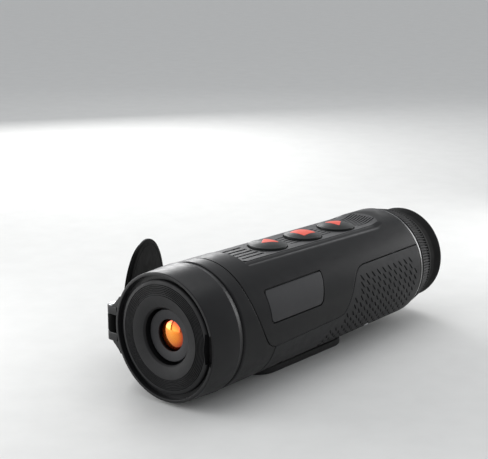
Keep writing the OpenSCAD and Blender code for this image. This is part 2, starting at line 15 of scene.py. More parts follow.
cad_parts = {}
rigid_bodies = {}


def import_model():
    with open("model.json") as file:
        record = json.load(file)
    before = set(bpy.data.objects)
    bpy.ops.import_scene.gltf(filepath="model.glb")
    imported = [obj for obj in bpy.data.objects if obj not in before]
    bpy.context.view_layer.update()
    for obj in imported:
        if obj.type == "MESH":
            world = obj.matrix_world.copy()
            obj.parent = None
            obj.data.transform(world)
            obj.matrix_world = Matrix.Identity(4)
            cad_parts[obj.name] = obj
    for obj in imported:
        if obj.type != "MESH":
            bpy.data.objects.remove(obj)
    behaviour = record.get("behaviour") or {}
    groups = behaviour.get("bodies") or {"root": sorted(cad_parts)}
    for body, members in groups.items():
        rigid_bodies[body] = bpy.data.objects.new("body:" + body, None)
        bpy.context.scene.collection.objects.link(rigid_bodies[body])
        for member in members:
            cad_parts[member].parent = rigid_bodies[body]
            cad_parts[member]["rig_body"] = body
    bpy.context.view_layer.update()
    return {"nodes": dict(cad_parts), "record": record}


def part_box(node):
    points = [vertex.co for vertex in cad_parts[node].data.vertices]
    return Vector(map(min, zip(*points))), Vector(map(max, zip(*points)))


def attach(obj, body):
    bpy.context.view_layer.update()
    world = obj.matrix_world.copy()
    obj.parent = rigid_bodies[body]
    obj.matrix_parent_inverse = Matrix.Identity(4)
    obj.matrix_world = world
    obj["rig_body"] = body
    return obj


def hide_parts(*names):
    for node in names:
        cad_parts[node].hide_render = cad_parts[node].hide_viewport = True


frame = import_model()

MM = 0.001
TAU = 2 * math.pi
SMOOTH = 32.0  # degrees: faces that meet at a smaller angle are shaded as one surface
LENS_OPENING = 7.47  # radius of the opening in the lens cell


# ---- places, from the frame
def centre(node):
    low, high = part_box(node)
    return (low + high) / 2


LENS_CELL = centre("lens_cell")
FRONT_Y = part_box("front_barrel")[0].y
AXIS = np.array([LENS_CELL.x, FRONT_Y, LENS_CELL.z])


def to_row(points):
    """Millimetres in the optical frame to metres in the row frame."""
    return np.asarray(points, float) * MM + AXIS


def low(node, axis):
    """Lowest coordinate of a node along an axis (0, 1 or 2), in the optical frame."""
    return (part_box(node)[0][axis] - AXIS[axis]) / MM


def high(node, axis):
    return (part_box(node)[1][axis] - AXIS[axis]) / MM


# ---- mesh helpers
def mesh_of(name, shape):
    vertices, faces = shape
    mesh = bpy.data.meshes.new(name)
    mesh.from_pydata([tuple(v) for v in to_row(vertices)], [], [tuple(int(i) for i in f) for f in faces])
    return mesh


def add_to_scene(name, data):
    obj = bpy.data.objects.new(name, data)
    bpy.context.scene.collection.objects.link(obj)
    return obj


def make_object(name, shape, body, material, replaces=(), smooth=SMOOTH):
    mesh = mesh_of(name, shape)
    mesh.validate()
    obj = add_to_scene(name, mesh)
    face_outwards(mesh)
    finish_shading(mesh, smooth)
    mesh.materials.append(material)
    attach(obj, body)
    if replaces:
        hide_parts(*replaces)
    return obj


def face_outwards(mesh):
    bm = bmesh.new()
    bm.from_mesh(mesh)
    bmesh.ops.recalc_face_normals(bm, faces=bm.faces)
    bm.to_mesh(mesh)
    bm.free()


def finish_shading(mesh, smooth):
    mesh.shade_smooth()
    mesh.set_sharp_from_angle(angle=math.radians(smooth))


def combine(obj, operation, *shapes, smooth=SMOOTH):
    """Joins closed shapes to a piece, or cuts them from it, and keeps the result as its mesh."""
    for shape in shapes:
        mesh = mesh_of("tool", shape)
        face_outwards(mesh)
        combine_with(obj, operation, add_to_scene("tool", mesh))
    finish_shading(obj.data, smooth)
    return obj


def combine_with(obj, operation, tool):
    """One Boolean step between a piece and another object, which is used up."""
    step = obj.modifiers.new("combine", "BOOLEAN")
    step.operation = operation
    step.solver = "MANIFOLD"
    step.object = tool
    bpy.context.view_layer.update()
    result = bpy.data.meshes.new_from_object(obj.evaluated_get(bpy.context.evaluated_depsgraph_get()))
    obj.modifiers.clear()
    if len(result.polygons) == 0:
        raise RuntimeError(f"{obj.name}: {operation} left nothing")
    old, obj.data = obj.data, result
    bpy.data.meshes.remove(old)
    bpy.data.objects.remove(tool)


def grid_faces(rows, cols, wrap_rows=False, wrap_cols=False, start=0):
    """Quads over a grid of vertices that are numbered row by row from start."""
    i, j = np.meshgrid(np.arange(rows if wrap_rows else rows - 1),
                       np.arange(cols if wrap_cols else cols - 1), indexing="ij")
    i2, j2 = (i + 1) % rows, (j + 1) % cols
    return start + np.stack([i * cols + j, i * cols + j2, i2 * cols + j2, i2 * cols + j], -1).reshape(-1, 4)


NEARLY_STRAIGHT = 0.02  # radians
MOST_OF_SIDE = 0.48  # an arc takes up to this share of the sides beside it


def rounded(outline, steps=4):
    """Closed outline of (a, b, radius) corners, each turned into an arc of that radius."""
    points = []
    count = len(outline)
    for k, corner in enumerate(outline):
        here = np.array(corner[:2], float)
        radius = corner[2] if len(corner) > 2 else 0
        before = np.array(outline[k - 1][:2], float) - here
        after = np.array(outline[(k + 1) % count][:2], float) - here
        lb, la = np.linalg.norm(before), np.linalg.norm(after)
        before, after = before / lb, after / la
        half = math.acos(np.clip(before @ after, -1, 1)) / 2
        if radius <= 0 or half > math.pi / 2 - NEARLY_STRAIGHT:
            points.append(here)
            continue
        reach = min(radius / math.tan(half), MOST_OF_SIDE * min(lb, la))
        middle = here + (before + after) / np.linalg.norm(before + after) * reach / math.cos(half)
        start, end = here + before * reach - middle, here + after * reach - middle
        turn = math.atan2(start[0] * end[1] - start[1] * end[0], start @ end)
        for t in np.linspace(0, turn, steps + 1):
            c, s = math.cos(t), math.sin(t)
            points.append(middle + np.array([c * start[0] - s * start[1], s * start[0] + c * start[1]]))
    return np.array(points)


def circle(radius, segments=96, centre_at=(0, 0)):
    t = np.arange(segments) * TAU / segments
    return np.stack([centre_at[0] + radius * np.cos(t), centre_at[1] + radius * np.sin(t)], -1)


def revolve(profile, segments=256, wave=None):
    """Closed ring of a closed (radius, y) outline; wave(phi, profile) may change the radii."""
    rings = []
    for phi in np.arange(segments) * TAU / segments:
        radii = profile[:, 0] if wave is None else wave(phi, profile)
        rings.append(np.stack([radii * math.cos(phi), profile[:, 1], radii * math.sin(phi)], -1))
    return np.concatenate(rings), grid_faces(segments, len(profile), True, True)


def lathe(points, segments=160):
    """Solid disc about Y: an open (radius, y) outline whose two ends lie on the axis."""
    profile = np.array(points[1:-1], float)
    n = len(profile)
    phis = np.arange(segments) * TAU / segments
    radii, y = profile.T
    rings = [np.stack([radii * math.cos(p), y, radii * math.sin(p)], -1) for p in phis]
    faces = [tuple(f) for f in grid_faces(segments, n, True, False)]
    first, last = segments * n, segments * n + 1
    for k in range(segments):
        k2 = (k + 1) % segments
        faces.append((first, k2 * n, k * n))
        faces.append((last, k * n + n - 1, k2 * n + n - 1))
    return np.concatenate(rings + [[[0, points[0][1], 0], [0, points[-1][1], 0]]]), faces


def joined(*shapes):
    """Several shapes as one."""
    vertices, faces, start = [], [], 0
    for v, f in shapes:
        vertices.append(np.asarray(v, float))
        faces += [tuple(int(i) + start for i in face) for face in f]
        start += len(v)
    return np.concatenate(vertices), faces


def stacked(rings):
    """Closed shape over rings of equally many points, with a face on the first and the last."""
    n = len(rings[0])
    faces = [tuple(f) for f in grid_faces(len(rings), n, False, True)]
    faces.append(tuple(range(n - 1, -1, -1)))
    faces.append(tuple(range((len(rings) - 1) * n, len(rings) * n)))
    return np.concatenate(rings), faces


def extruded(outline, bottom, top, bevel, steps=3):
    """Prism of a closed outline with rounded rims; its points are (a, b, height)."""
    outline = np.asarray(outline, float)
    nxt, prv = np.roll(outline, -1, 0), np.roll(outline, 1, 0)
    tangent = nxt - prv
    tangent /= np.maximum(np.linalg.norm(tangent, axis=1, keepdims=True), 1e-9)
    normal = np.stack([tangent[:, 1], -tangent[:, 0]], -1)
    if np.sum(normal * (outline - outline.mean(0))) < 0:
        normal = -normal
    levels = []
    for k in range(steps + 1):
        a = k / steps * math.pi / 2
        levels.append((bevel * (1 - math.sin(a)), bottom + bevel * (1 - math.cos(a))))
    levels += [(inset, top + bottom - height) for inset, height in reversed(levels)]
    count = len(outline)
    return stacked([np.column_stack([outline - normal * inset, np.full(count, height)])
                    for inset, height in levels])


CUT_BEVEL = 0.02  # rims of a cutter, which lie clear of the piece


def reordered(shape, order):
    """The shape with its coordinates in another order, such as (0, 2, 1) to swap y and z."""
    return shape[0][:, list(order)], shape[1]


def moved(shape, offset):
    return shape[0] + np.array(offset, float), shape[1]


EDGE_STEPS = np.array([0, 0.05, 0.12, 0.22, 0.36, 0.6])  # grid lines beside a rounded edge


def edge_drop(distance, bevel):
    """How far a rounded edge lies under the surface, at a distance from its border."""
    gap = np.clip(bevel - distance, 0, bevel)
    return bevel - np.sqrt(bevel ** 2 - gap ** 2)


def shell(y, phi, outer, inner, closed=False):
    """Closed shell over a grid of stations and angles, between two radii."""
    y, phi, outer, inner = np.broadcast_arrays(y, phi, outer, inner)
    rows, cols = y.shape
    layers = [np.stack([r * np.cos(phi), y, r * np.sin(phi)], -1).reshape(-1, 3) for r in (outer, inner)]
    count = rows * cols
    faces = [tuple(f) for f in grid_faces(rows, cols, False, closed)]
    faces += [tuple(f)[::-1] for f in grid_faces(rows, cols, False, closed, count)]
    rims = [list(range(cols)), list(range((rows - 1) * cols, rows * cols))]
    if not closed:
        rims += [list(range(0, count, cols)), list(range(cols - 1, count, cols))]
    for number, rim in enumerate(rims):
        loop = rim + rim[:1] if closed else rim
        for a, b in zip(loop[:-1], loop[1:]):
            quad = (a, b, b + count, a + count)
            faces.append(quad if number in (1, 2) else quad[::-1])
    return np.concatenate(layers), faces


# ---- materials
NOISE_LOW, NOISE_HIGH = 0.3, 0.7  # most of a noise texture's values lie between these
PATCH_SCALE = 55  # noise scales are per metre
WEAR_SCALE = 260
GLASS_TONE_SCALE = 30
GLASS_FILM_SCALE, EYE_FILM_SCALE = 400, 500
COAT_ROUGHNESS = 0.25


def nodes_of(name):
    material = bpy.data.materials.new(name)
    material.use_nodes = True
    tree = material.node_tree
    return material, tree, tree.nodes["Principled BSDF"]


def linear(hex_colour):
    """An sRGB colour as linear values."""
    values = [int(hex_colour[i:i + 2], 16) / 255 for i in (1, 3, 5)]
    return [v / 12.92 if v <= 0.04045 else ((v + 0.055) / 1.055) ** 2.4 for v in values] + [1]


def settle(tree, node, inputs):
    """Links a socket to each input of a node, or sets the input's own value."""
    for name, value in inputs.items():
        if isinstance(value, bpy.types.NodeSocket):
            tree.links.new(value, node.inputs[name])
        else:
            node.inputs[name].default_value = value


def added(tree, kind, inputs, operation=None):
    node = tree.nodes.new("ShaderNode" + kind)
    if operation:
        node.operation = operation
    settle(tree, node, inputs)
    return node


def noise(tree, scale, detail=2.0, roughness=0.5, stretch=(1, 1, 1)):
    place = added(tree, "TexCoord", {}).outputs["Object"]
    mapped = added(tree, "Mapping", {"Vector": place, "Scale": stretch}).outputs["Vector"]
    settings = {"Vector": mapped, "Scale": scale, "Detail": detail, "Roughness": roughness}
    return added(tree, "TexNoise", settings).outputs["Fac"]


def ramp(tree, value, stops):
    """Colour ramp; stops are (place, sRGB colour)."""
    node = added(tree, "ValToRGB", {"Fac": value})
    elements = node.color_ramp.elements
    for number, (place, colour) in enumerate(stops):
        stop = elements[number] if number < 2 else elements.new(place)
        stop.position = place
        stop.color = linear(colour)
    return node.outputs["Color"]


def spread(tree, value, low_value, high_value):
    """Spreads a noise over a range of values."""
    limits = {"From Min": NOISE_LOW, "From Max": NOISE_HIGH, "To Min": low_value, "To Max": high_value}
    return added(tree, "MapRange", {"Value": value, **limits}).outputs["Result"]


def surface(name, dark, light, rough, grain_mm, depth, metallic=0.0, specular=0.5, coat=0.0,
            stretch=(1, 1, 1)):
    """Moulded or machined finish: two tones in soft patches, uneven gloss and a fine grain."""
    material, tree, shader = nodes_of(name)
    patches = noise(tree, PATCH_SCALE, 4, 0.6)
    wear = noise(tree, WEAR_SCALE, 3, 0.6, stretch)
    grain = noise(tree, 1 / (grain_mm * MM), 1.5, 0.5, stretch)
    bump = added(tree, "Bump", {"Height": grain, "Strength": 0.5, "Distance": depth * MM})
    settle(tree, shader, {
        "Base Color": ramp(tree, patches, [(NOISE_LOW, dark), (NOISE_HIGH, light)]),
        "Roughness": spread(tree, wear, rough - 0.05, rough + 0.06),
        "Normal": bump.outputs["Normal"], "Metallic": metallic, "Specular IOR Level": specular,
        "Coat Weight": coat, "Coat Roughness": COAT_ROUGHNESS})
    return material


def coated_glass():
    """Front element: an orange coating, lighter at the centre, with painted shade that deepens it to dark red
    at the rim, where the cell's lip shades the lens.
    """
    material, tree, shader = nodes_of("coated_lens")
    place = added(tree, "TexCoord", {}).outputs["Object"]
    across = added(tree, "Mapping", {"Vector": place, "Location": -AXIS}).outputs["Vector"]
    flat = added(tree, "VectorMath", {0: across, 1: (1, 0, 1)}, "MULTIPLY").outputs["Vector"]
    reach = added(tree, "VectorMath", {0: flat}, "LENGTH").outputs["Value"]
    share = added(tree, "Math", {0: reach, 1: LENS_OPENING * MM}, "DIVIDE").outputs["Value"]
    # painted shade: the last stops darken the orange coating to dark red at the rim, where the lip shades the
    # lens
    tones = [(0.0, "#ffa030"), (0.5, "#f4841e"), (0.8, "#c04412"), (1.0, "#4a0a04")]
    settle(tree, shader, {
        "Base Color": ramp(tree, share, tones),
        "Roughness": spread(tree, noise(tree, GLASS_FILM_SCALE), 0.05, 0.09),
        "Metallic": 0.9, "Coat Weight": 0.6, "Coat Roughness": 0.03})
    return material


def dark_glass():
    """Eyepiece glass: nearly black inside, with a faint blue coating."""
    material, tree, shader = nodes_of("optic_glass")
    settle(tree, shader, {
        "Base Color": ramp(tree, noise(tree, GLASS_TONE_SCALE), [(0.35, "#0a1218"), (0.65, "#101a2a")]),
        "Roughness": spread(tree, noise(tree, EYE_FILM_SCALE), 0.03, 0.06),
        "Coat Weight": 1.0, "Coat Tint": linear("#a0c8ff"), "Coat Roughness": 0.02})
    return material


# Dark tone, light tone, roughness, grain in mm, depth of the grain in mm, other settings
FINISHES = {
    "casing": ("#131314", "#171718", 0.34, 0.22, 0.012, dict(specular=0.2)),
    "grip": ("#222223", "#272728", 0.5, 0.25, 0.02, dict(specular=0.24)),
    "bezel": ("#1b1b1c", "#202021", 0.55, 0.3, 0.01, dict(specular=0.2)),
    "lens_cell": ("#232325", "#28282a", 0.5, 0.3, 0.01, dict(specular=0.25)),
    "detector_glass": ("#2c3838", "#3c4a4a", 0.15, 0.8, 0.004, dict(coat=0.6)),
    "seal_rubber": ("#141414", "#1c1c1c", 0.8, 0.25, 0.02, dict()),
    "inner_black": ("#141416", "#1c1c1e", 0.6, 0.4, 0.015, dict()),
    "deck": ("#272728", "#2d2d2f", 0.42, 0.25, 0.008, dict(specular=0.4)),
    "label": ("#232325", "#28282a", 0.42, 0.3, 0.008, dict(specular=0.4)),
    "eyecup_rubber": ("#0e0e0e", "#131313", 0.7, 0.35, 0.02, dict(specular=0.12)),
    "frame_metal": ("#77797c", "#8f9194", 0.35, 0.5, 0.01, dict(metallic=0.9, stretch=(1, 0.2, 1))),
    "brass": ("#a07c35", "#bd974a", 0.3, 0.5, 0.008, dict(metallic=1.0, stretch=(1, 1, 0.2))),
    "ceramic": ("#b59f6c", "#cdb780", 0.5, 0.4, 0.008, dict()),
    "circuit_board": ("#0f4a2a", "#17603a", 0.4, 0.9, 0.02, dict(coat=0.3)),
    "heatsink": ("#8e9195", "#a9acb0", 0.4, 0.5, 0.01, dict(metallic=0.9)),
    "shield_can": ("#a3a5a8", "#bcbec0", 0.3, 0.6, 0.006, dict(metallic=1.0)),
    "battery": ("#2b6a52", "#357c61", 0.35, 1.2, 0.006, dict(coat=0.3)),
    "switch_plastic": ("#c6c6be", "#dcdcd4", 0.5, 0.4, 0.01, dict()),
    "display": ("#0b0b12", "#141420", 0.2, 0.8, 0.003, dict(coat=0.7)),
    "pad_rubber": ("#161616", "#1f1f1f", 0.82, 0.3, 0.03, dict()),
    "pin_steel": ("#b4b6b8", "#d2d4d6", 0.2, 0.3, 0.004, dict(metallic=1.0)),
    "screw_steel": ("#8c8e90", "#b0b2b4", 0.3, 0.3, 0.006, dict(metallic=1.0)),
    "cover": ("#050505", "#070707", 0.6, 0.25, 0.012, dict(specular=0.04)),
    "button": ("#1a1d1c", "#202322", 0.4, 0.2, 0.01, dict(specular=0.2)),
    "symbol_red": ("#e8503e", "#f2604c", 0.45, 0.25, 0.006, dict(specular=0.3)),
    "diopter": ("#101011", "#141415", 0.55, 0.25, 0.015, dict(specular=0.14)),
    "shutter_blade": ("#3e3e40", "#4c4c4e", 0.5, 0.4, 0.01, dict(metallic=0.6)),
    "flap_rubber": ("#1a1a1b", "#232324", 0.7, 0.3, 0.02, dict()),
}
MATERIALS = {name: surface(name, *values, **more) for name, (*values, more) in FINISHES.items()}
MATERIALS.update(coated_lens=coated_glass(), optic_glass=dark_glass())
SLOT_OF = {entry["node"]: entry["material_slot"] for entry in frame["record"]["subparts"]}


def piece(name, shape, node, smooth=SMOOTH, material=None):
    """A piece that stands for one CAD node and rides on its body."""
    body = frame["nodes"][node]["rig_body"]
    slot = SLOT_OF[node]
    return make_object(name, shape, body, material or MATERIALS[slot], (node,), smooth)


# ---- the body's shape
BODY_START = low("front_collar", 1)
BODY_END = high("upper_cover", 1)
BODY_FRONT_R = high("front_collar", 0)
BODY_REAR_R = high("rear_collar", 0)
TAPER = (BODY_FRONT_R - BODY_REAR_R) / (BODY_END - BODY_START)
WALL = 2.2
SEAM = 0.12  # half of the gap between two casings
BEVEL = 0.32
GRIP_BEVEL = 0.45


def body_r(y):
    """Radius of the tapering body at a station."""
    return BODY_FRONT_R - TAPER * (np.asarray(y, float) - BODY_START)


def curve(corners, steps=40, pull=0.5):
    """Smooth line through a few corners (Catmull-Rom)."""
    corners = np.array(corners, float)
    ends = np.vstack([2 * corners[0] - corners[1], corners, 2 * corners[-1] - corners[-2]])
    points = []
    for p0, p1, p2, p3 in zip(ends, ends[1:], ends[2:], ends[3:]):
        for t in np.arange(steps) / steps:
            a, b = pull * (p2 - p0), pull * (p3 - p1)
            points.append((2 * t ** 3 - 3 * t ** 2 + 1) * p1 + (t ** 3 - 2 * t ** 2 + t) * a
                          + (3 * t ** 2 - 2 * t ** 3) * p2 + (t ** 3 - t ** 2) * b)
    points.append(corners[-1])
    return np.array(points)


# Side view (y, z) of the seam behind the front collar, and of the grip's upper edge
FRONT_SEAM = curve([(28.6, 20.4), (29.1, 16), (30.2, 10.4), (32.4, 4), (35.6, -2.6), (39.4, -7.2),
                    (44, -9.4)])
GRIP_SEAM = curve([(92, -7.6), (96.6, -6.4), (100.4, -1), (104.4, 6), (107.4, 10.2), (110.4, 12.6),
                   (114.6, 13.8)])
SEAM_TOP = FRONT_SEAM[0]
SEAM_FOOT = FRONT_SEAM[-1]


def front_seam_y(z):
    return np.interp(-np.asarray(z), -FRONT_SEAM[:, 1], FRONT_SEAM[:, 0])


def lower_edge_z(y):
    """Height of the upper cover's lower edge at a station."""
    line = np.vstack([FRONT_SEAM, GRIP_SEAM, [[BODY_END + 1, GRIP_SEAM[-1, 1]]]])
    return np.interp(y, line[:, 0], line[:, 1])


DECK_FRONT = 42.3
DECK_Z0 = 28.0  # height of the deck at its front end
DECK_TILT = math.radians(1.25)
DECK_SLOPE = math.tan(DECK_TILT)
PLATE_T = 1.2
RAMP_Y = 144.6
RAMP_SLOPE = 0.28
RAMP_BLEND = 1.5
PLATE_HALF_W = 11.2
PLATE_CORNER = 3.4
PLATE_FRONT = DECK_FRONT + 0.8
PLATE_END_Y = 137.6
PLATE_END_R = 15.8


def deck_z(y):
    """Top of the deck plate: it falls gently towards the eye, then ramps up into the casing."""
    s = np.asarray(y, float) - RAMP_Y
    climb = RAMP_SLOPE * (s + np.sqrt(s * s + RAMP_BLEND ** 2)) / 2
    return DECK_Z0 - DECK_SLOPE * (y - DECK_FRONT) + climb


def soft_min(a, b, blend):
    """The smaller of two values, with a rounded change from one to the other."""
    h = np.clip(blend - np.abs(a - b), 0, None) / blend
    return np.minimum(a, b) - h * h * blend / 4


# ---- casings
DECK_EDGE_REACH = 1.4  # the grid is dense this far on both sides of the deck's edge
SKIRT_COLUMNS = 48
TOP_COLUMNS = 50


def skirt_columns(start, middle, edge_scale):
    """Angles from a seam to the deck's edge, row by row: close at the seam and at the deck's edge."""
    radius = body_r(0)
    near = start[:, None] + EDGE_STEPS[None, :-1] * edge_scale[:, None] / radius
    first = start + EDGE_STEPS[-1] * edge_scale / radius
    last = middle - (DECK_EDGE_REACH + 0.2) / radius
    even = first[:, None] + (last - first)[:, None] * np.linspace(0, 1, SKIRT_COLUMNS)[None, :]
    dense = middle[:, None] + np.linspace(-DECK_EDGE_REACH, DECK_EDGE_REACH, 13)[None, :] / radius
    return np.hstack([near, even, dense])


POCKET_HALF_W = 10.7
POCKET_FRONT_INSET, POCKET_REAR_INSET = 0.8, 0.9
LEDGE_W, LEDGE_H, LEDGE_CURVE = 2.3, 0.9, 1.6


def ledge(y, across):
    """Height over the deck's floor: none under the plate, almost the plate's top just outside it."""
    far = PLATE_END_Y + np.sqrt(np.maximum(PLATE_END_R ** 2 - across ** 2, 0)) - POCKET_REAR_INSET
    pocket = (across < POCKET_HALF_W) & (y > PLATE_FRONT + POCKET_FRONT_INSET) & (y < far)
    outside = np.clip((across - PLATE_HALF_W) / LEDGE_W, 0, 1)
    return np.where(pocket, 0, LEDGE_H * (1 - outside ** LEDGE_CURVE))


DECK_STEEPEST = math.radians(82)
DECK_SIDE = 0.3  # sine of the angle above which the deck can lie
DECK_BLEND = 0.5
WALL_BEVEL = 0.3
POCKET_STEP = 0.006
LABEL_GAP, LABEL_POCKET_DEPTH = 0.52, 0.95


def upper_cover():
    start = SEAM_TOP[0] + SEAM
    end = BODY_END
    # Stations lie close together at the ends, at the deck's front wall, at the seams and at the ramp
    y = np.concatenate([
        start + EDGE_STEPS, np.arange(start + 0.9, 41.6, 0.6),
        DECK_FRONT - EDGE_STEPS[:0:-1], DECK_FRONT + np.array([-0.02, 0.0, 0.2]),
        np.arange(43, 91.5, 1.6), np.arange(91.8, 116, 0.5), np.arange(116.5, 140, 1.5),
        np.arange(140.5, end - 0.7, 0.5), end - EDGE_STEPS[::-1]])
    radius = body_r(y)
    seam_z = lower_edge_z(y) + SEAM
    phi_seam = np.arcsin(np.clip(seam_z / radius, -1, 1))
    slope = np.gradient(phi_seam * radius, y)
    stretch = np.clip(np.sqrt(1 + slope ** 2), 1, 5)
    floor = np.where(y < DECK_FRONT, deck_z(DECK_FRONT), deck_z(y)) - PLATE_T
    phi_deck = np.arcsin(np.clip(floor / radius, 0, math.sin(DECK_STEEPEST)))
    right = skirt_columns(phi_seam, phi_deck, stretch)
    edge = right[:, -1]
    top = edge[:, None] + (math.pi - 2 * edge)[:, None] * np.linspace(0, 1, TOP_COLUMNS)[None, 1:-1]
    step = np.arctan2(floor, POCKET_HALF_W)[:, None] + np.array([-POCKET_STEP, POCKET_STEP])[None, :]
    phi = np.sort(np.hstack([right, top, step, math.pi - step, math.pi - right]), 1)
    y2, r2 = y[:, None], radius[:, None]
    rise = np.maximum(np.sin(phi), 0.2)
    deck = floor[:, None] / rise
    for _ in range(4):
        deck = (floor[:, None] + ledge(y2, np.abs(deck * np.cos(phi)))) / rise
    on_top = np.sin(phi) > DECK_SIDE
    outer = np.where((y2 >= DECK_FRONT) & on_top, soft_min(r2, deck, DECK_BLEND), r2)
    wall_drop = np.where(y2 < DECK_FRONT, edge_drop(DECK_FRONT - y2, WALL_BEVEL), 0)
    wall_drop = np.where((deck < r2 - WALL_BEVEL) & on_top, wall_drop, 0)
    to_seam = np.minimum(phi - phi[:, :1], phi[:, -1:] - phi) * r2 / stretch[:, None]
    to_end = np.minimum(y2 - start, end - y2)
    outer = outer - np.maximum(edge_drop(np.minimum(to_seam, to_end), BEVEL), wall_drop)
    inner = np.minimum(r2 - WALL, outer - 1.2)
    obj = piece("upper_cover_shell", shell(y2, phi, outer, inner), "upper_cover")
    label_pocket = side_patch(grown(LABEL, LABEL_GAP), LABEL_POCKET_DEPTH, -1.0)
    return combine(obj, "DIFFERENCE", label_pocket, flap_window())


BARREL_GAP = 0.06
COLLAR_REAR_GAP = 0.34
COLLAR_LEAD, COLLAR_LEAD_SHARE = 1.1, 0.6  # reach of the collar's soft front edge, and how full it is
SEAM_STATION = 36  # station whose radius turns heights on the front seam into angles


def front_collar():
    start, rows, columns = BARREL_END + BARREL_GAP, 30, 360
    phi = np.arange(columns) * TAU / columns
    height = np.array([np.clip(body_r(SEAM_STATION) * math.sin(p), SEAM_FOOT[1], SEAM_TOP[1]) for p in phi])
    rim = front_seam_y(height) - COLLAR_REAR_GAP
    length = rim - start - 2 * EDGE_STEPS[-1]
    inner = start + EDGE_STEPS[-1] + length[None, :] * np.linspace(0, 1, rows)[:, None]
    near = np.repeat(start + EDGE_STEPS[:-1, None], columns, 1)
    far = rim[None, :] - EDGE_STEPS[-2::-1, None]
    y = np.vstack([near, inner, far])
    lead = edge_drop(y - start, COLLAR_LEAD) * COLLAR_LEAD_SHARE
    outer = body_r(y) - edge_drop(rim[None, :] - y, BEVEL) - lead
    return piece("front_collar_shell", shell(y, phi, outer, body_r(y) - WALL, True), "front_collar")


CASE_SCREW_X = 17
CASE_SCREW_Y = (60, 130)
SCREW_BORE_R, SCREW_BORE_TOP = 2.5, -21.6
OUTSIDE = 40  # cutters reach this far from the axis
HOUSING_COLUMNS = 110


def lower_housing():
    start, end = SEAM_FOOT[0] + SEAM, BODY_END
    y = np.concatenate([
        start + EDGE_STEPS, np.arange(start + 1.4, 91.5, 2.0), np.arange(91.8, 116, 0.5),
        np.arange(116.8, end - 0.8, 1.6), end - EDGE_STEPS[::-1]])
    radius = body_r(y)
    phi_seam = np.arcsin((lower_edge_z(y) - SEAM) / radius)
    stretch = np.clip(np.sqrt(1 + np.gradient(phi_seam * radius, y) ** 2), 1, 5)
    scale = stretch[:, None] / radius[:, None]
    left = math.pi - phi_seam[:, None] + EDGE_STEPS[None, :-1] * scale
    right = TAU + phi_seam[:, None] - EDGE_STEPS[None, -2::-1] * scale
    step = EDGE_STEPS[-1] - EDGE_STEPS[-2]
    first, last = left[:, -1:] + step * scale, right[:, :1] - step * scale
    phi = np.hstack([left, first + (last - first) * np.linspace(0, 1, HOUSING_COLUMNS)[None, :], right])
    y2, r2 = y[:, None], radius[:, None]
    to_seam = np.minimum(phi - phi[:, :1], phi[:, -1:] - phi) * r2 / stretch[:, None]
    outer = r2 - edge_drop(np.minimum(to_seam, np.minimum(y2 - start, end - y2)), GRIP_BEVEL)
    obj = piece("lower_housing_shell", shell(y2, phi, outer, r2 - WALL), "lower_housing",
                material=MATERIALS["grip"])
    bores = [moved(extruded(circle(SCREW_BORE_R, 48), -OUTSIDE, SCREW_BORE_TOP, CUT_BEVEL, 1), (x, y_bore, 0))
             for x in (-CASE_SCREW_X, CASE_SCREW_X) for y_bore in CASE_SCREW_Y]
    combine(obj, "UNION", strap_box())
    return combine(obj, "DIFFERENCE", strap_pocket(), grip_strokes(1), grip_strokes(-1), *bores)


STRAP_Y = 150
STRAP_BOX_OUTSIDE, STRAP_BOX_INSIDE, STRAP_POCKET_FLOOR = -28.2, -20.4, -21.2


def strap_outline(half_y, half_z, radius, steps):
    """Side view of the lanyard recess, or of the wall around it."""
    corners = [(-half_y, -half_z), (half_y, -half_z), (half_y, half_z), (-half_y, half_z)]
    return rounded([(STRAP_Y + y, z, radius) for y, z in corners], steps)


def strap_box():
    """Thick wall behind the lanyard recess."""
    outline = strap_outline(7.6, 5.4, 0.5, 4)
    return reordered(extruded(outline, STRAP_BOX_OUTSIDE, STRAP_BOX_INSIDE, 0.2), (2, 0, 1))


def strap_pocket():
    outline = strap_outline(6.2, 4, 1.6, 6)
    return reordered(extruded(outline, -OUTSIDE, STRAP_POCKET_FLOOR, 0.3), (2, 0, 1))


# ---- label and charging flap
# Side view of the label plate: corners (y, z, radius)
LABEL = [(40.3, 17.2, 1.7), (82.9, 17.2, 1.0), (81.8, 12.6, 3), (78.6, 4.6, 3), (76.6, 3.1, 2),
         (40.3, 3.1, 2.2)]
LABEL_T, LABEL_INSET, LABEL_BEVEL = 0.58, 0.06, 0.22


def grown(outline, by):
    """Outline of (a, b, radius) corners, moved outwards."""
    points = np.array([c[:2] for c in outline])
    away = np.sign(points - points.mean(0))
    return [(*(p + by * s), c[2]) for p, s, c in zip(points, away, outline)]


def side_patch(outline, depth, inset, side=1, edge=0.0, rows=26, cols=60):
    """Curved slab on the casing's side whose side view is the outline: from depth under the
    surface to inset under it (negative: above it)."""
    line = rounded(outline, 8)
    bottom, top = line[:, 1].min(), line[:, 1].max()
    z = bottom + (top - bottom) * (1 - np.cos(np.linspace(0, math.pi, rows))) / 2
    z[0], z[-1] = bottom + 1e-3, top - 1e-3
    spans = []
    for height in z:
        cross = []
        for (y0, z0), (y1, z1) in zip(line, np.roll(line, -1, 0)):
            if (z0 - height) * (z1 - height) < 0:
                cross.append(y0 + (y1 - y0) * (height - z0) / (z1 - z0))
        spans.append((min(cross), max(cross)))
    spans = np.array(spans)
    share = (1 - np.cos(np.linspace(0, math.pi, cols))) / 2
    y = spans[:, :1] + (spans[:, 1:] - spans[:, :1]) * share[None, :]
    z2 = z[:, None]
    radius = body_r(y)
    phi = np.arcsin(z2 / radius)
    phi = phi if side > 0 else math.pi - phi
    border = np.minimum(np.minimum(y - spans[:, :1], spans[:, 1:] - y), np.minimum(z2 - bottom, top - z2))
    drop = edge_drop(border, edge) if edge else 0
    return shell(y, phi, radius - inset - drop, radius - depth)


def label_plate():
    return piece("label_panel", side_patch(LABEL, LABEL_T, LABEL_INSET, edge=LABEL_BEVEL), "label_plate")


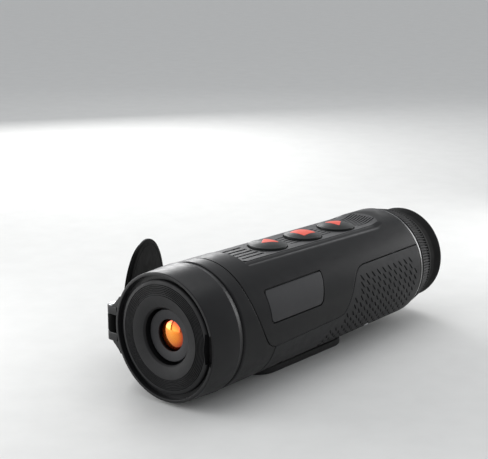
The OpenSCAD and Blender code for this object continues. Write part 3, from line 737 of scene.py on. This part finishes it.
USB_Y, USB_Z, USB_HALF_Y, USB_HALF_Z = 75, 5.6, 6, 4.4
FLAP_T = 1.5
FLAP_GAP = 0.3
WINDOW_DEPTH = 6
NOTCH_R, NOTCH_RISE, NOTCH_FLOOR = 1.6, 0.7, -29.4


def flap_outline(by):
    """Side view of the flap, moved outwards: small corners at its hinge, larger ones above."""
    y0, y1 = USB_Y - USB_HALF_Y - by, USB_Y + USB_HALF_Y + by
    z0, z1 = USB_Z - USB_HALF_Z - by, USB_Z + USB_HALF_Z + by
    return [(y0, z0, 0.4), (y1, z0, 0.4), (y1, z1, 1.4), (y0, z1, 1.4)]


def flap_window():
    return side_patch(flap_outline(FLAP_GAP), WINDOW_DEPTH, -1, side=-1)


def flap_hinge(radius, length):
    outline = circle(radius, 32, (-(float(body_r(USB_Y)) - FLAP_T / 2), USB_Z - USB_HALF_Z))
    return reordered(extruded(outline, USB_Y - length / 2, USB_Y + length / 2, 0.1), (0, 2, 1))


def usb_flap():
    obj = piece("usb_flap_cover", side_patch(flap_outline(0), FLAP_T, 0, side=-1, edge=0.3), "usb_flap")
    nail_notch = circle(NOTCH_R, 40, (USB_Y, USB_Z + USB_HALF_Z + NOTCH_RISE))
    combine(obj, "DIFFERENCE", reordered(extruded(nail_notch, -OUTSIDE, NOTCH_FLOOR, 0.1), (2, 0, 1)))
    return combine(obj, "UNION", flap_hinge(FLAP_T / 2, 2 * USB_HALF_Y - 0.4))


# ---- deck plate and buttons
BUTTON_Y = [73 + 27.2 * i for i in range(3)]
BUTTON_R = 9.5
BUTTON_GAP = 0.35
# Groups of lengthwise grooves: start, end, pitch, width, depth, grooves on each side of the middle one
GROOVES = [(45.3, 61.3, 3.6, 1.3, 0.85, 2), (84, 116, 2.7, 0.8, 0.5, 2),
           (136.5, 151.2, 1.75, 0.75, 0.5, 4)]
GROOVE_LIP, GROOVE_FOOT = 0.04, 0.1  # a groove's wall leans: from outside its edge to inside it
BEND_FRONT, BEND_REAR = 52.0, 140.0  # grid lines curve with the plate's ends beyond these stations
PLATE_BEVEL = 0.3
PLATE_SMOOTH = 25


def plate_grid():
    """Grid (x, v) of the plate, with lines at every groove's walls and at its rims."""
    edges = [0]
    for _, _, pitch, width, _, count in GROOVES:
        for i in range(count + 1):
            edges += [i * pitch + s * (width / 2 + d) for s in (-1, 1) for d in (-GROOVE_FOOT, GROOVE_LIP)]
    rims = set(np.round(PLATE_HALF_W - EDGE_STEPS, 3))
    half = sorted(set(round(e, 3) for e in edges if e > 0) | {10.0, 10.6} | rims)
    x = np.array([-e for e in reversed(half)] + [0] + list(half))
    starts = [44, 44.6]
    for y0, y1, *_ in GROOVES:
        starts += [y0 - 0.05, y0 + 0.1, y1 - 0.1, y1 + 0.05]
    v = np.array(sorted(set(np.round(np.concatenate([
        PLATE_FRONT + EDGE_STEPS, starts, np.arange(48, 140, 2.5), np.arange(140, 152.6, 0.5),
        PLATE_END_Y + PLATE_END_R - EDGE_STEPS]), 3))))
    return np.meshgrid(x, v)


def deck_plate():
    x, v = plate_grid()
    corner = np.clip(np.abs(x) - (PLATE_HALF_W - PLATE_CORNER), 0, PLATE_CORNER)
    y_start = PLATE_FRONT + PLATE_CORNER - np.sqrt(PLATE_CORNER ** 2 - corner ** 2)
    y_end = PLATE_END_Y + np.sqrt(PLATE_END_R ** 2 - x ** 2)
    far = PLATE_END_Y + PLATE_END_R
    near_front = y_start + (v - PLATE_FRONT) / (BEND_FRONT - PLATE_FRONT) * (BEND_FRONT - y_start)
    near_rear = BEND_REAR + (v - BEND_REAR) / (far - BEND_REAR) * (y_end - BEND_REAR)
    y = np.where(v > BEND_REAR, near_rear, np.where(v < BEND_FRONT, near_front, v))
    top = deck_z(y)
    for y0, y1, pitch, width, depth, count in GROOVES:
        nearest = np.abs(x - pitch * np.clip(np.round(x / pitch), -count, count))
        wall = np.clip((width / 2 + GROOVE_LIP - nearest) / (GROOVE_LIP + GROOVE_FOOT), 0, 1)
        top = top - depth * wall * (y > y0) * (y < y1)
    border = np.minimum(np.minimum(PLATE_HALF_W - np.abs(x), y_end - y), y - y_start)
    top = top - edge_drop(border, PLATE_BEVEL)
    base = deck_z(y) - PLATE_T + 0.01
    vertices = np.concatenate([np.stack([x, y, z], -1).reshape(-1, 3) for z in (top, base)])
    obj = piece("deck_panel", (vertices, closed_sheet_faces(*y.shape)), "deck_plate", smooth=PLATE_SMOOTH)
    return combine(obj, "DIFFERENCE", *[button_bore(b) for b in BUTTON_Y], smooth=PLATE_SMOOTH)


def closed_sheet_faces(rows, cols):
    """Faces of a top and a bottom grid with the rim between them."""
    count = rows * cols
    faces = [tuple(f) for f in grid_faces(rows, cols)]
    faces += [tuple(f)[::-1] for f in grid_faces(rows, cols, start=count)]
    loop = list(range(cols)) + list(range(2 * cols - 1, count, cols))
    loop += list(range(count - 2, count - cols - 1, -1)) + list(range(count - 2 * cols, 0, -cols))
    for a, b in zip(loop, loop[1:] + loop[:1]):
        faces.append((b, a, a + count, b + count))
    return faces


def on_deck(shape, y):
    """Places a shape drawn about Z (x across, y along, z out) on the sloping deck at a station."""
    c, s = math.cos(-DECK_TILT), math.sin(-DECK_TILT)
    v = shape[0]
    deck = DECK_Z0 - DECK_SLOPE * (y - DECK_FRONT)
    placed = [v[:, 0], y + c * v[:, 1] - s * v[:, 2], deck + s * v[:, 1] + c * v[:, 2]]
    return np.stack(placed, -1), shape[1]


def button_bore(y):
    return on_deck(extruded(circle(BUTTON_R + BUTTON_GAP, 128), -4, 4, CUT_BEVEL, 1), y)


BUTTON_RISE = 2.7
BROW_RISE = 0.9  # height at which the crown would meet the button's side
BROW_R = 0.5
DOME_H = BUTTON_RISE - BROW_RISE
DOME_R = (BUTTON_R ** 2 + DOME_H ** 2) / (2 * DOME_H)


def dome(reach):
    """Height of a button's crown at a distance from its centre."""
    return BUTTON_RISE - DOME_R + np.sqrt(DOME_R ** 2 - np.asarray(reach, float) ** 2)


def mark(corners):
    """Outline of a symbol, from its corners, with points along its straight sides too."""
    line = rounded([(*c, MARK_CORNER) for c in corners], 8)
    steps = np.linspace(0, 1, 12)[:-1, None]
    return np.concatenate([a + (b - a) * steps for a, b in zip(line, np.roll(line, -1, 0))])


MARK_CORNER = 0.7
TRIANGLE = [(-5.0, -3.2), (5.0, -3.2), (0, 4.8)]
SQUARE = [(-4.7, -4.7), (4.7, -4.7), (4.7, 4.7), (-4.7, 4.7)]
MARKS = [[(x, -y) for x, y in TRIANGLE], SQUARE, TRIANGLE]
INLAY = 0.07  # how far a symbol stands proud of its button
INLAY_FOOT = 0.35
INLAY_RIM = 0.94  # the inlay's top falls towards its outline from this share of its size


def symbol(number):
    outline = mark(MARKS[number])
    rings = []
    for share in np.concatenate([np.linspace(0.02, INLAY_RIM, 12), [0.965, 0.985, 1.0]]):
        p = outline * share
        lift = INLAY - INLAY * max(0, (share - INLAY_RIM) / (1 - INLAY_RIM)) ** 2
        rings.append(np.column_stack([p, dome(np.hypot(p[:, 0], p[:, 1])) + lift]))
    rings.append(np.column_stack([outline, dome(np.hypot(outline[:, 0], outline[:, 1])) - INLAY_FOOT]))
    return on_deck(stacked(rings[::-1]), BUTTON_Y[number])


def button(number):
    crown_r = BUTTON_R - BROW_R
    crown = [(r, float(dome(r))) for r in np.linspace(0, crown_r, 26)]
    brow = float(dome(crown_r)) - BROW_R
    side = [(crown_r + BROW_R * math.sin(a), brow + BROW_R * math.cos(a)) for a in np.linspace(0.15, 1.5, 6)]
    skirt = [(BUTTON_R, 0.3), (BUTTON_R, -0.4), (BUTTON_R - 0.15, -0.55), (0, -0.55)]
    shape = reordered(lathe(crown + side + skirt, 160), (0, 2, 1))
    return on_deck(shape, BUTTON_Y[number])


def controls():
    for number, name in enumerate(("up", "menu", "down")):
        piece(f"button_{name}_cap", button(number), f"button_{name}", smooth=40)
        piece(f"symbol_{name}_inlay", symbol(number), f"symbol_{name}", smooth=50)


# ---- grip strokes
STROKE_LENGTH = 4.4
STROKE_WIDTH = 1.3
STROKE_DEPTH = 0.6
STROKE_PITCH_Y = 4.8
STROKE_PITCH_ROUND = 3.3
STROKE_LEAN = math.radians(36)
GRIP_START = 88
GRIP_MIDDLE = 135  # station whose radius turns arcs into angles
GRIP_MARGIN = 5.0  # plain border along the seam
GRIP_END_MARGIN = 4.8
GRIP_TOP_ARC = 8.0  # arc from the +X side up to the first row
ROW_SHIFT = 0.9  # each row starts this share of the pitch further back, and wraps round
GRIP_ROWS, GRIP_COLUMNS = 14, 16
STRAP_CLEAR_Y, STRAP_CLEAR_ARC = 9.8, 8
SCREW_CLEAR = 4.8


def stroke_shape():
    """Cutter for one slanting groove, (along, round, height): a leaf at the surface, an edge below."""
    t = np.linspace(-1, 1, 9)
    half = STROKE_WIDTH / 2 * (1 - t ** 4)
    rim = np.vstack([np.column_stack([-half, t]), np.column_stack([half * 0.7, t])[::-1][1:-1]])
    rings = []
    for share, reach, height in ((1.25, 1.02, 0.5), (1.0, 1.0, 0.0), (0.45, 0.9, -0.6), (0.12, 0.72, -1.0)):
        along = rim[:, 1] * reach * STROKE_LENGTH / 2
        rings.append(np.column_stack([rim[:, 0] * share, along, np.full(len(rim), STROKE_DEPTH * height)]))
    vertices, faces = stacked(rings)
    c, s = math.cos(STROKE_LEAN), math.sin(STROKE_LEAN)
    a, b, height = vertices.T
    return np.stack([c * a - s * b, s * a + c * b, height], -1), faces


def grip_strokes(side):
    """All the slanting grooves of one side, in staggered rows below the seam."""
    vertices, faces = stroke_shape()
    placed = []
    mean_r = float(body_r(GRIP_MIDDLE))
    for row in range(GRIP_ROWS):
        arc = GRIP_TOP_ARC - row * STROKE_PITCH_ROUND
        x, z = mean_r * math.cos(arc / mean_r), mean_r * math.sin(arc / mean_r)
        for column in range(GRIP_COLUMNS):
            y = GRIP_START + (column + ROW_SHIFT * row % 1) * STROKE_PITCH_Y
            near_seam = z > lower_edge_z(y) - GRIP_MARGIN or z > lower_edge_z(y - GRIP_MARGIN)
            near_strap = side < 0 and abs(y - STRAP_Y) < STRAP_CLEAR_Y and abs(arc) < STRAP_CLEAR_ARC
            near_screw = arc < 0 and math.hypot(x - CASE_SCREW_X, y - CASE_SCREW_Y[1]) < SCREW_CLEAR
            if y > BODY_END - GRIP_END_MARGIN or near_seam or near_strap or near_screw:
                continue
            at_y = y + vertices[:, 0]
            phi = (arc + vertices[:, 1]) / mean_r
            radius = body_r(at_y) + vertices[:, 2]
            placed.append((np.stack([side * radius * np.cos(phi), at_y, radius * np.sin(phi)], -1), faces))
    return joined(*placed)


# ---- objective end
RING_R, RING_BORE_R, RING_DEPTH = 30.0, 28.5, 2.8
BEZEL_SEAT_R, BEZEL_SEAT_Y = 26.4, 9
BULKHEAD_BORE_R, BULKHEAD_END = 14.6, 11.5
BARREL_R = 30.8
BARREL_END = 20.0
CHAMFER_Y, CHAMFER_DROP = 16.8, 0.8
SPIGOT_R, SPIGOT_BORE_R, SPIGOT_END = 28.2, 25.8, 26
CELL_R = 12.1
HINGE_X, HINGE_Y = -33.8, 3.2
KNUCKLE_R, KNUCKLE_H = 3.15, 4.0
EAR_H = 4.0
EAR_GAP = 0.3
EAR_END = KNUCKLE_H + EAR_GAP + EAR_H
PIN_BORE_R, HEAD_BORE_R, HEAD_BORE_DEPTH = 1.25, 2.7, 9


def front_barrel():
    profile = rounded([
        (RING_BORE_R, 0, 0.2), (RING_R, 0, 0.5), (BARREL_R, CHAMFER_Y, 0.6),
        (BARREL_R - CHAMFER_DROP, BARREL_END, 0.1), (SPIGOT_R, BARREL_END), (SPIGOT_R, SPIGOT_END),
        (SPIGOT_BORE_R, SPIGOT_END), (SPIGOT_BORE_R, BULKHEAD_END), (BULKHEAD_BORE_R, BULKHEAD_END),
        (BULKHEAD_BORE_R, BEZEL_SEAT_Y), (BEZEL_SEAT_R, BEZEL_SEAT_Y), (BEZEL_SEAT_R, RING_DEPTH),
        (RING_BORE_R, RING_DEPTH)], 5)
    # painted light: the barrel is the casing's plastic, given a lighter copy of its colour so that it shows
    # brighter, as if more light fell on it
    finish = surface("barrel_casing_painted_lighter", "#1b1b1c", "#202021", 0.35, 0.22, 0.012, specular=0.22)
    obj = piece("front_barrel_shell", revolve(profile, 384), "front_barrel", material=finish)
    lugs = []
    for s in (-1, 1):
        ear = np.vstack([circle(KNUCKLE_R, 48)[12:37] + [HINGE_X, HINGE_Y],
                         [[-29.4, HINGE_Y - KNUCKLE_R], [-29.4, HINGE_Y + KNUCKLE_R]]])
        ends = sorted((s * (KNUCKLE_H + EAR_GAP), s * EAR_END))
        lugs.append(extruded(ear, *ends, 0.3))
        web = rounded([(HINGE_X + 0.6, 8 * s, 0.4), (-30.9, 10.1 * s, 2.5), (-28.9, 12 * s, 2.5),
                       (-26.9, 14.6 * s, 0.5), (-26.5, 8 * s, 0.4)], 5)
        lugs.append(reordered(extruded(web, 0.25, HINGE_Y + KNUCKLE_R - 0.6, 0.3), (0, 2, 1)))
    bore = reordered(extruded(circle(RING_R - 0.8, 200), -2, BARREL_END - 0.5, 0.05, 1), (0, 2, 1))
    ears = make_object("ears_tool", lugs[0], "root", MATERIALS["casing"])
    combine(ears, "UNION", *lugs[1:])
    combine(ears, "DIFFERENCE", bore)
    combine_with(obj, "UNION", ears)
    heads = [extruded(circle(HEAD_BORE_R, 48, (HINGE_X, HINGE_Y)), *span, CUT_BEVEL, 1)
             for span in ((EAR_END, EAR_END + HEAD_BORE_DEPTH), (-EAR_END - HEAD_BORE_DEPTH, -EAR_END))]
    return combine(obj, "DIFFERENCE", *latch_slot(), pin_bore(PIN_BORE_R), *heads)


def pin_bore(radius):
    return extruded(circle(radius, 40, (HINGE_X, HINGE_Y)), -20, 20, CUT_BEVEL, 1)


NOTCH_HALF_ANGLE = math.radians(14)
NOTCH_FRONT, NOTCH_BACK = -1, 3.6
NOTCH_OUTER_R, NOTCH_INNER_R = 29.55, 25.3
NOTCH_BOX_X, NOTCH_BOX_HALF_W = (24.4, 28.5), 6.95


def latch_slot():
    """Notch in the ring and the bezel at +X for the cover's catch: an arc, and a box inside it."""
    phi = np.linspace(-NOTCH_HALF_ANGLE, NOTCH_HALF_ANGLE, 40)
    arc = shell(np.linspace(NOTCH_FRONT, NOTCH_BACK, 6)[:, None], phi, NOTCH_OUTER_R, NOTCH_INNER_R)
    x0, x1 = NOTCH_BOX_X
    corners = [(x0, NOTCH_FRONT), (x1, NOTCH_FRONT), (x1, NOTCH_BACK), (x0, NOTCH_BACK)]
    return arc, extruded(corners, -NOTCH_BOX_HALF_W, NOTCH_BOX_HALF_W, CUT_BEVEL, 1)


RIDGES_R, RIDGE_PITCH, RIDGE_COUNT, RIDGE_DEPTH = 19.9, 0.76, 6, 0.55


def front_bezel():
    """A cone round the lens cell, a step, six ridges and a plain rim."""
    outline = [(14.4, 2.9), (13.0, 2.5, 0.12), (13.9, 1.6, 0.2), (19.3, 0.3, 0.08), (19.4, 0.8),
               (19.75, 0.8), (RIDGES_R, 0.45)]
    for i in range(RIDGE_COUNT):
        r, y = RIDGES_R + i * RIDGE_PITCH, 0.5 + 0.03 * i
        for share, dip, radius in ((0.3, 0, 0.04), (0.42, 1, 0), (0.8, 1, 0), (0.95, 0, 0.04)):
            outline.append((r + share * RIDGE_PITCH, y + dip * RIDGE_DEPTH, radius))
    outline += [(25.9, 1, 0.3), (26.3, 1.4, 0.2), (26.3, 8.9), (14.4, 8.9)]
    obj = piece("front_bezel_ring", revolve(rounded(outline, 3), 320), "front_bezel")
    return combine(obj, "DIFFERENCE", *latch_slot())


def lens_cell():
    profile = rounded([
        (LENS_OPENING, 5.0, 0.15), (CELL_R, 4.3, 0.35), (CELL_R, 11.6), (19, 11.6), (19, 14), (CELL_R, 14),
        (CELL_R, 30), (9.05, 30), (9.05, 5.7), (LENS_OPENING, 5.7, 0.1)], 4)
    return piece("lens_cell_ring", revolve(profile, 256), "lens_cell")


LENS_APEX, LENS_R, LENS_T = 5.2, 9, 4
LENS_FRONT_R, LENS_BACK_R, LENS_HOLLOW = 16, 48, 0.8


def front_lens():
    """Its front face is a sphere towards the scene, its back a hollow one."""
    r = np.linspace(0, LENS_R, 22)
    front = [(a, LENS_APEX + LENS_FRONT_R - math.sqrt(LENS_FRONT_R ** 2 - a ** 2)) for a in r]
    rim = LENS_APEX + LENS_T
    back = [(a, min(rim, rim - LENS_HOLLOW + LENS_BACK_R - math.sqrt(LENS_BACK_R ** 2 - a ** 2)))
            for a in r[::-1]]
    return piece("front_lens_coated", lathe(front + back, 160), "front_lens")


COVER_FACE = -2.1
COVER_BACK = COVER_FACE + 1.7
COVER_PIN_BORE_R = 1.27
BARREL_CLEARANCE = 0.25


def lens_cover():
    """Disc with a fine groove near its rim and a ring inside, knuckle, arm and catch."""
    face, back = COVER_FACE, COVER_BACK
    profile = [(0, face), (24, face), (27.05, face), (27.2, face + 0.16), (27.4, face + 0.16), (27.55, face),
               (29.3, face), (29.7, face + 0.12), (29.93, face + 0.4), (30, face + 0.8), (29.95, back - 0.15),
               (29.8, back), (28.2, back), (28.2, 1.0), (28.0, 1.2), (27.0, 1.2), (26.8, 1.0), (26.8, back),
               (0, back)]
    obj = piece("lens_cover_disc", parked(lathe(profile, 240)), "lens_cover")
    knuckle = extruded(circle(KNUCKLE_R, 64, (HINGE_X, HINGE_Y)), -KNUCKLE_H, KNUCKLE_H, 0.3)
    arm_outline = [(HINGE_X, face, 0.2), (-26.5, face, 0), (-26.5, back, 0), (-30.4, back, 0.3),
                   (-30.4, HINGE_Y, 0.8), (HINGE_X, HINGE_Y, 0)]
    catch_outline = [(26.9, face, 0.1), (31.2, face, 0.5), (31.2, back, 0.3), (28.9, back, 0.1),
                     (28.9, 2.1, 0.4), (27.0, 2.1, 0.4)]
    arm = extruded(rounded(arm_outline, 4), -KNUCKLE_H + 0.01, KNUCKLE_H - 0.01, 0.3)
    catch = extruded(rounded(catch_outline, 4), -4, 4, 0.3)
    combine(obj, "UNION", parked(knuckle), parked(arm), parked(catch))
    barrel = reordered(extruded(circle(BARREL_R - BARREL_CLEARANCE, 256), -5, 70, CUT_BEVEL, 1), (0, 2, 1))
    return combine(obj, "DIFFERENCE", barrel, pin_bore(COVER_PIN_BORE_R))


COVER_OPEN = math.radians(-242.4)


def parked(shape):
    """The closed cover swung about its pin to where it rests beside the barrel."""
    v = shape[0] - np.array([HINGE_X, HINGE_Y, 0])
    c, s = math.cos(COVER_OPEN), math.sin(COVER_OPEN)
    turned = np.stack([c * v[:, 0] - s * v[:, 1], s * v[:, 0] + c * v[:, 1], v[:, 2]], -1)
    return turned + np.array([HINGE_X, HINGE_Y, 0]), shape[1]


def cover_pin():
    """Domed head above the ears, shank through them, flat riveted end below."""
    head = [(0, 0.8), (1.4, 0.8), (2.0, 0.74), (2.35, 0.55), (2.5, 0.3), (2.5, 0), (1.2, 0)]
    end = [(1.2, 0), (1.9, 0), (1.9, -0.45), (1.7, -0.6), (0, -0.6)]
    profile = [(r, EAR_END + h) for r, h in head] + [(r, h - EAR_END) for r, h in end]
    shape = moved(reordered(lathe(profile, 64), (0, 2, 1)), (HINGE_X, HINGE_Y, 0))
    return piece("cover_hinge_pin", shape, "cover_pin")


# ---- eyepiece end
COLLAR_Y = 164.15
COLLAR_END = 166.9
TUBE_R = 21.3


def rear_collar():
    """Crowned rim that shows behind the casings, and a spigot inside them."""
    r, bore, shoulder, spigot = BODY_REAR_R, TUBE_R + 0.05, COLLAR_END - 3.9, COLLAR_Y - 6
    profile = rounded([
        (r, COLLAR_Y, 0.15), (r - 0.1, COLLAR_Y + 0.9, 3), (r - 0.5, COLLAR_Y + 2.1, 1.5),
        (r - 1, COLLAR_END, 0.15), (bore, COLLAR_END), (bore, shoulder), (24.2, shoulder), (24.2, spigot),
        (26.2, spigot), (26.2, COLLAR_Y)], 4)
    trim = surface("collar_trim", "#141415", "#19191a", 0.22, 0.4, 0.004, specular=0.6)
    return piece("rear_collar_ring", revolve(profile, 320), "rear_collar", material=trim)


DIOPTER_Y0, DIOPTER_Y1, DIOPTER_R = COLLAR_END + 0.35, COLLAR_END + 10.55, 28.0
TOOTH_COUNT, TOOTH_LEAN, TOOTH_DEPTH = 112, 0.004, 0.6
KNURL_START, KNURL_END, KNURL_RUN_IN = 0.9, 9.15, 0.35
KNURL_INNER_R = 25  # teeth are cut outside this radius only


def diopter_ring():
    y0, y1, r = DIOPTER_Y0, DIOPTER_Y1, DIOPTER_R
    profile = rounded([
        (TUBE_R + 0.08, y0), (r - 0.5, y0, 0.2), (r, y0 + 0.5, 0.2), (r, y0 + 0.9), (r - 0.1, y0 + 1.25),
        (r - 0.4, y0 + 3), (r - 0.8, y0 + 5), (r - 1.3, y0 + 7.2), (r - 1.6, y1 - 1.4), (r - 1.7, y1 - 1.05),
        (r - 2.1, y1 - 0.5), (r - 2.5, y1), (TUBE_R + 0.08, y1)], 3)

    def teeth_wave(phi, line):
        along = line[:, 1] - y0
        run_in = np.clip((along - KNURL_START) / KNURL_RUN_IN, 0, 1)
        run_out = np.clip((KNURL_END - along) / KNURL_RUN_IN, 0, 1)
        depth = TOOTH_DEPTH * run_in * run_out * (line[:, 0] > KNURL_INNER_R)
        crest = np.clip(0.5 - 1.2 * np.cos(TOOTH_COUNT * (phi + TOOTH_LEAN * along)), 0, 1)
        return line[:, 0] - depth * (1 - crest)

    shape = revolve(profile, TOOTH_COUNT * 8, teeth_wave)
    return piece("diopter_knurled_ring", shape, "diopter_ring", smooth=50)


CUP_START, CUP_LENGTH, TUBE_END = COLLAR_END + 10.95, 13, COLLAR_END + 14.1


def eyecup():
    """Rubber cup over the tube: a waist, and a flared lip towards the eye."""
    y0, y1, tube_end = CUP_START, CUP_START + CUP_LENGTH, TUBE_END
    profile = rounded([
        (TUBE_R, y0, 0.1), (25, y0, 0.3), (25.2, y0 + 0.8, 0.6), (23.9, y0 + 3.6, 3), (23.7, y0 + 7, 4),
        (24.7, y1 - 1.6, 0.8), (24.4, y1 - 0.3, 0.5), (23.6, y1, 0.5), (22.7, y1 - 0.6, 0.6), (21, y0 + 7, 4),
        (19.6, tube_end + 1.2, 0.6), (17.4, tube_end + 0.9, 0.3), (17.4, tube_end), (TUBE_R, tube_end)], 5)
    return piece("eyecup_rubber", revolve(profile, 256), "eyecup")


# ---- base
PAD_HALF_W, PAD_FRONT, PAD_BACK, PAD_T = 12.0, 52.0, 124.0, 3.2
PAD_HOLE_R, PAD_RIB_CLEAR = 6.1, 8.5
PAD_GROOVE_PITCH, PAD_GROOVE_W, PAD_GROOVE_DEPTH = 2.0, 0.7, 0.45


def base_pad():
    """Pad with round ends, a hole for the tripod insert and lengthwise grooves underneath."""
    half, front, back = PAD_HALF_W, PAD_FRONT, PAD_BACK
    middle = (front + back) / 2
    t = np.linspace(0, math.pi, 40)
    ends = [np.column_stack([half * np.cos(t), back - half + half * np.sin(t)]),
            np.column_stack([-half * np.cos(t), front + half - half * np.sin(t)])]
    bottom = low("base_pad", 2)
    obj = piece("base_pad_rubber", extruded(np.vstack(ends), bottom, bottom + PAD_T, 0.5), "base_pad")
    hole = moved(extruded(circle(PAD_HOLE_R, 64), bottom - 2, bottom + 5, CUT_BEVEL, 1), (0, middle, 0))
    grooves = []
    w = PAD_GROOVE_W / 2
    for i in range(-5, 6):
        x = i * PAD_GROOVE_PITCH
        reach = math.sqrt(max(0, (half - 2) ** 2 - x * x))
        for y0, y1 in ((front + half - reach, middle - PAD_RIB_CLEAR),
                       (middle + PAD_RIB_CLEAR, back - half + reach)):
            outline = rounded([(-w, y0, 0.3), (w, y0, 0.3), (w, y1, 0.3), (-w, y1, 0.3)], 3)
            groove = extruded(outline, bottom - 1, bottom + PAD_GROOVE_DEPTH, CUT_BEVEL, 1)
            grooves.append(moved(groove, (x, 0, 0)))
    return combine(obj, "DIFFERENCE", hole, *grooves)


# ---- stage, light and camera
CAMERA_AZIMUTH = math.radians(40.55)
CAMERA_HEIGHT = math.radians(14.31)
CAMERA_ROLL = math.radians(-0.20)
CAMERA_PLACE = (382.91, -391.90, 189.10)
CAMERA_LENS = 95.9
SENSOR = 36.0
FLOOR_GAP, FLOOR_HALF = 0.05, 12000
LENS_MIDDLE = (0, 5, 0)
BODY_MIDDLE = (0, 85, 0)
ROOM_COLOUR, ROOM_STRENGTH = (0.9, 0.92, 0.95, 1), 0.62


def camera():
    data = bpy.data.cameras.new("camera")
    data.sensor_width = SENSOR
    data.lens = CAMERA_LENS
    data.clip_start = 0.01
    obj = add_to_scene("camera", data)
    a, e = CAMERA_AZIMUTH, CAMERA_HEIGHT
    back = Vector((math.sin(a) * math.cos(e), -math.cos(a) * math.cos(e), math.sin(e)))
    right = Vector((math.cos(a), math.sin(a), 0))
    up = back.cross(right)
    turn = Matrix((right, up, back)).transposed() @ Matrix.Rotation(CAMERA_ROLL, 3, "Z")
    obj.matrix_world = Matrix.Translation(Vector(to_row(CAMERA_PLACE))) @ turn.to_4x4()
    bpy.context.scene.camera = obj


def softbox(name, place, aim, width, height, power):
    data = bpy.data.lights.new(name, "AREA")
    data.shape = "RECTANGLE"
    data.size = width * MM
    data.size_y = height * MM
    data.energy = power
    start, end = Vector(to_row(place)), Vector(to_row(aim))
    turn = (end - start).to_track_quat("-Z", "Y").to_matrix().to_4x4()
    add_to_scene(name, data).matrix_world = Matrix.Translation(start) @ turn


def studio():
    half, floor_z = FLOOR_HALF, low("base_pad", 2) - FLOOR_GAP
    corners = [(-half, -half, floor_z), (half, -half, floor_z), (half, half, floor_z), (-half, half, floor_z)]
    mesh = mesh_of("floor", (corners, [(0, 1, 2, 3)]))
    floor = add_to_scene("floor", mesh)
    mesh.materials.append(surface("floor_paper", "#dededc", "#e2e2e0", 0.9, 2.0, 0.02, specular=0.1))
    softbox("top_box", (-60, 220, 620), BODY_MIDDLE, 620, 420, 1.2)
    softbox("back_box", (-470, 720, 330), BODY_MIDDLE, 560, 300, 0.26)
    softbox("glow_box", (-560, 430, 250), (0, 30, 20), 300, 280, 1.7)
    softbox("chamfer_box", (75, 440, 60), (30, 100, 0), 190, 180, 0.34)
    softbox("window_a", (-262, -146, 58), LENS_MIDDLE, 160, 178, 0.55)
    softbox("window_b", (-117, -276, 58), LENS_MIDDLE, 170, 178, 0.16)
    world = bpy.data.worlds.new("room")
    world.use_nodes = True
    background = world.node_tree.nodes["Background"]
    background.inputs["Color"].default_value = ROOM_COLOUR
    background.inputs["Strength"].default_value = ROOM_STRENGTH
    bpy.context.scene.world = world
    bpy.context.scene.view_settings.view_transform = "Standard"


# ---- build
camera()
studio()
front_barrel()
front_bezel()
lens_cell()
front_lens()
front_collar()
upper_cover()
lower_housing()
deck_plate()
label_plate()
controls()
rear_collar()
diopter_ring()
eyecup()
lens_cover()
cover_pin()
usb_flap()
base_pad()

for node_name, node in frame["nodes"].items():
    node.data.materials.clear()
    node.data.materials.append(MATERIALS[SLOT_OF[node_name]])

bpy.context.view_layer.update()
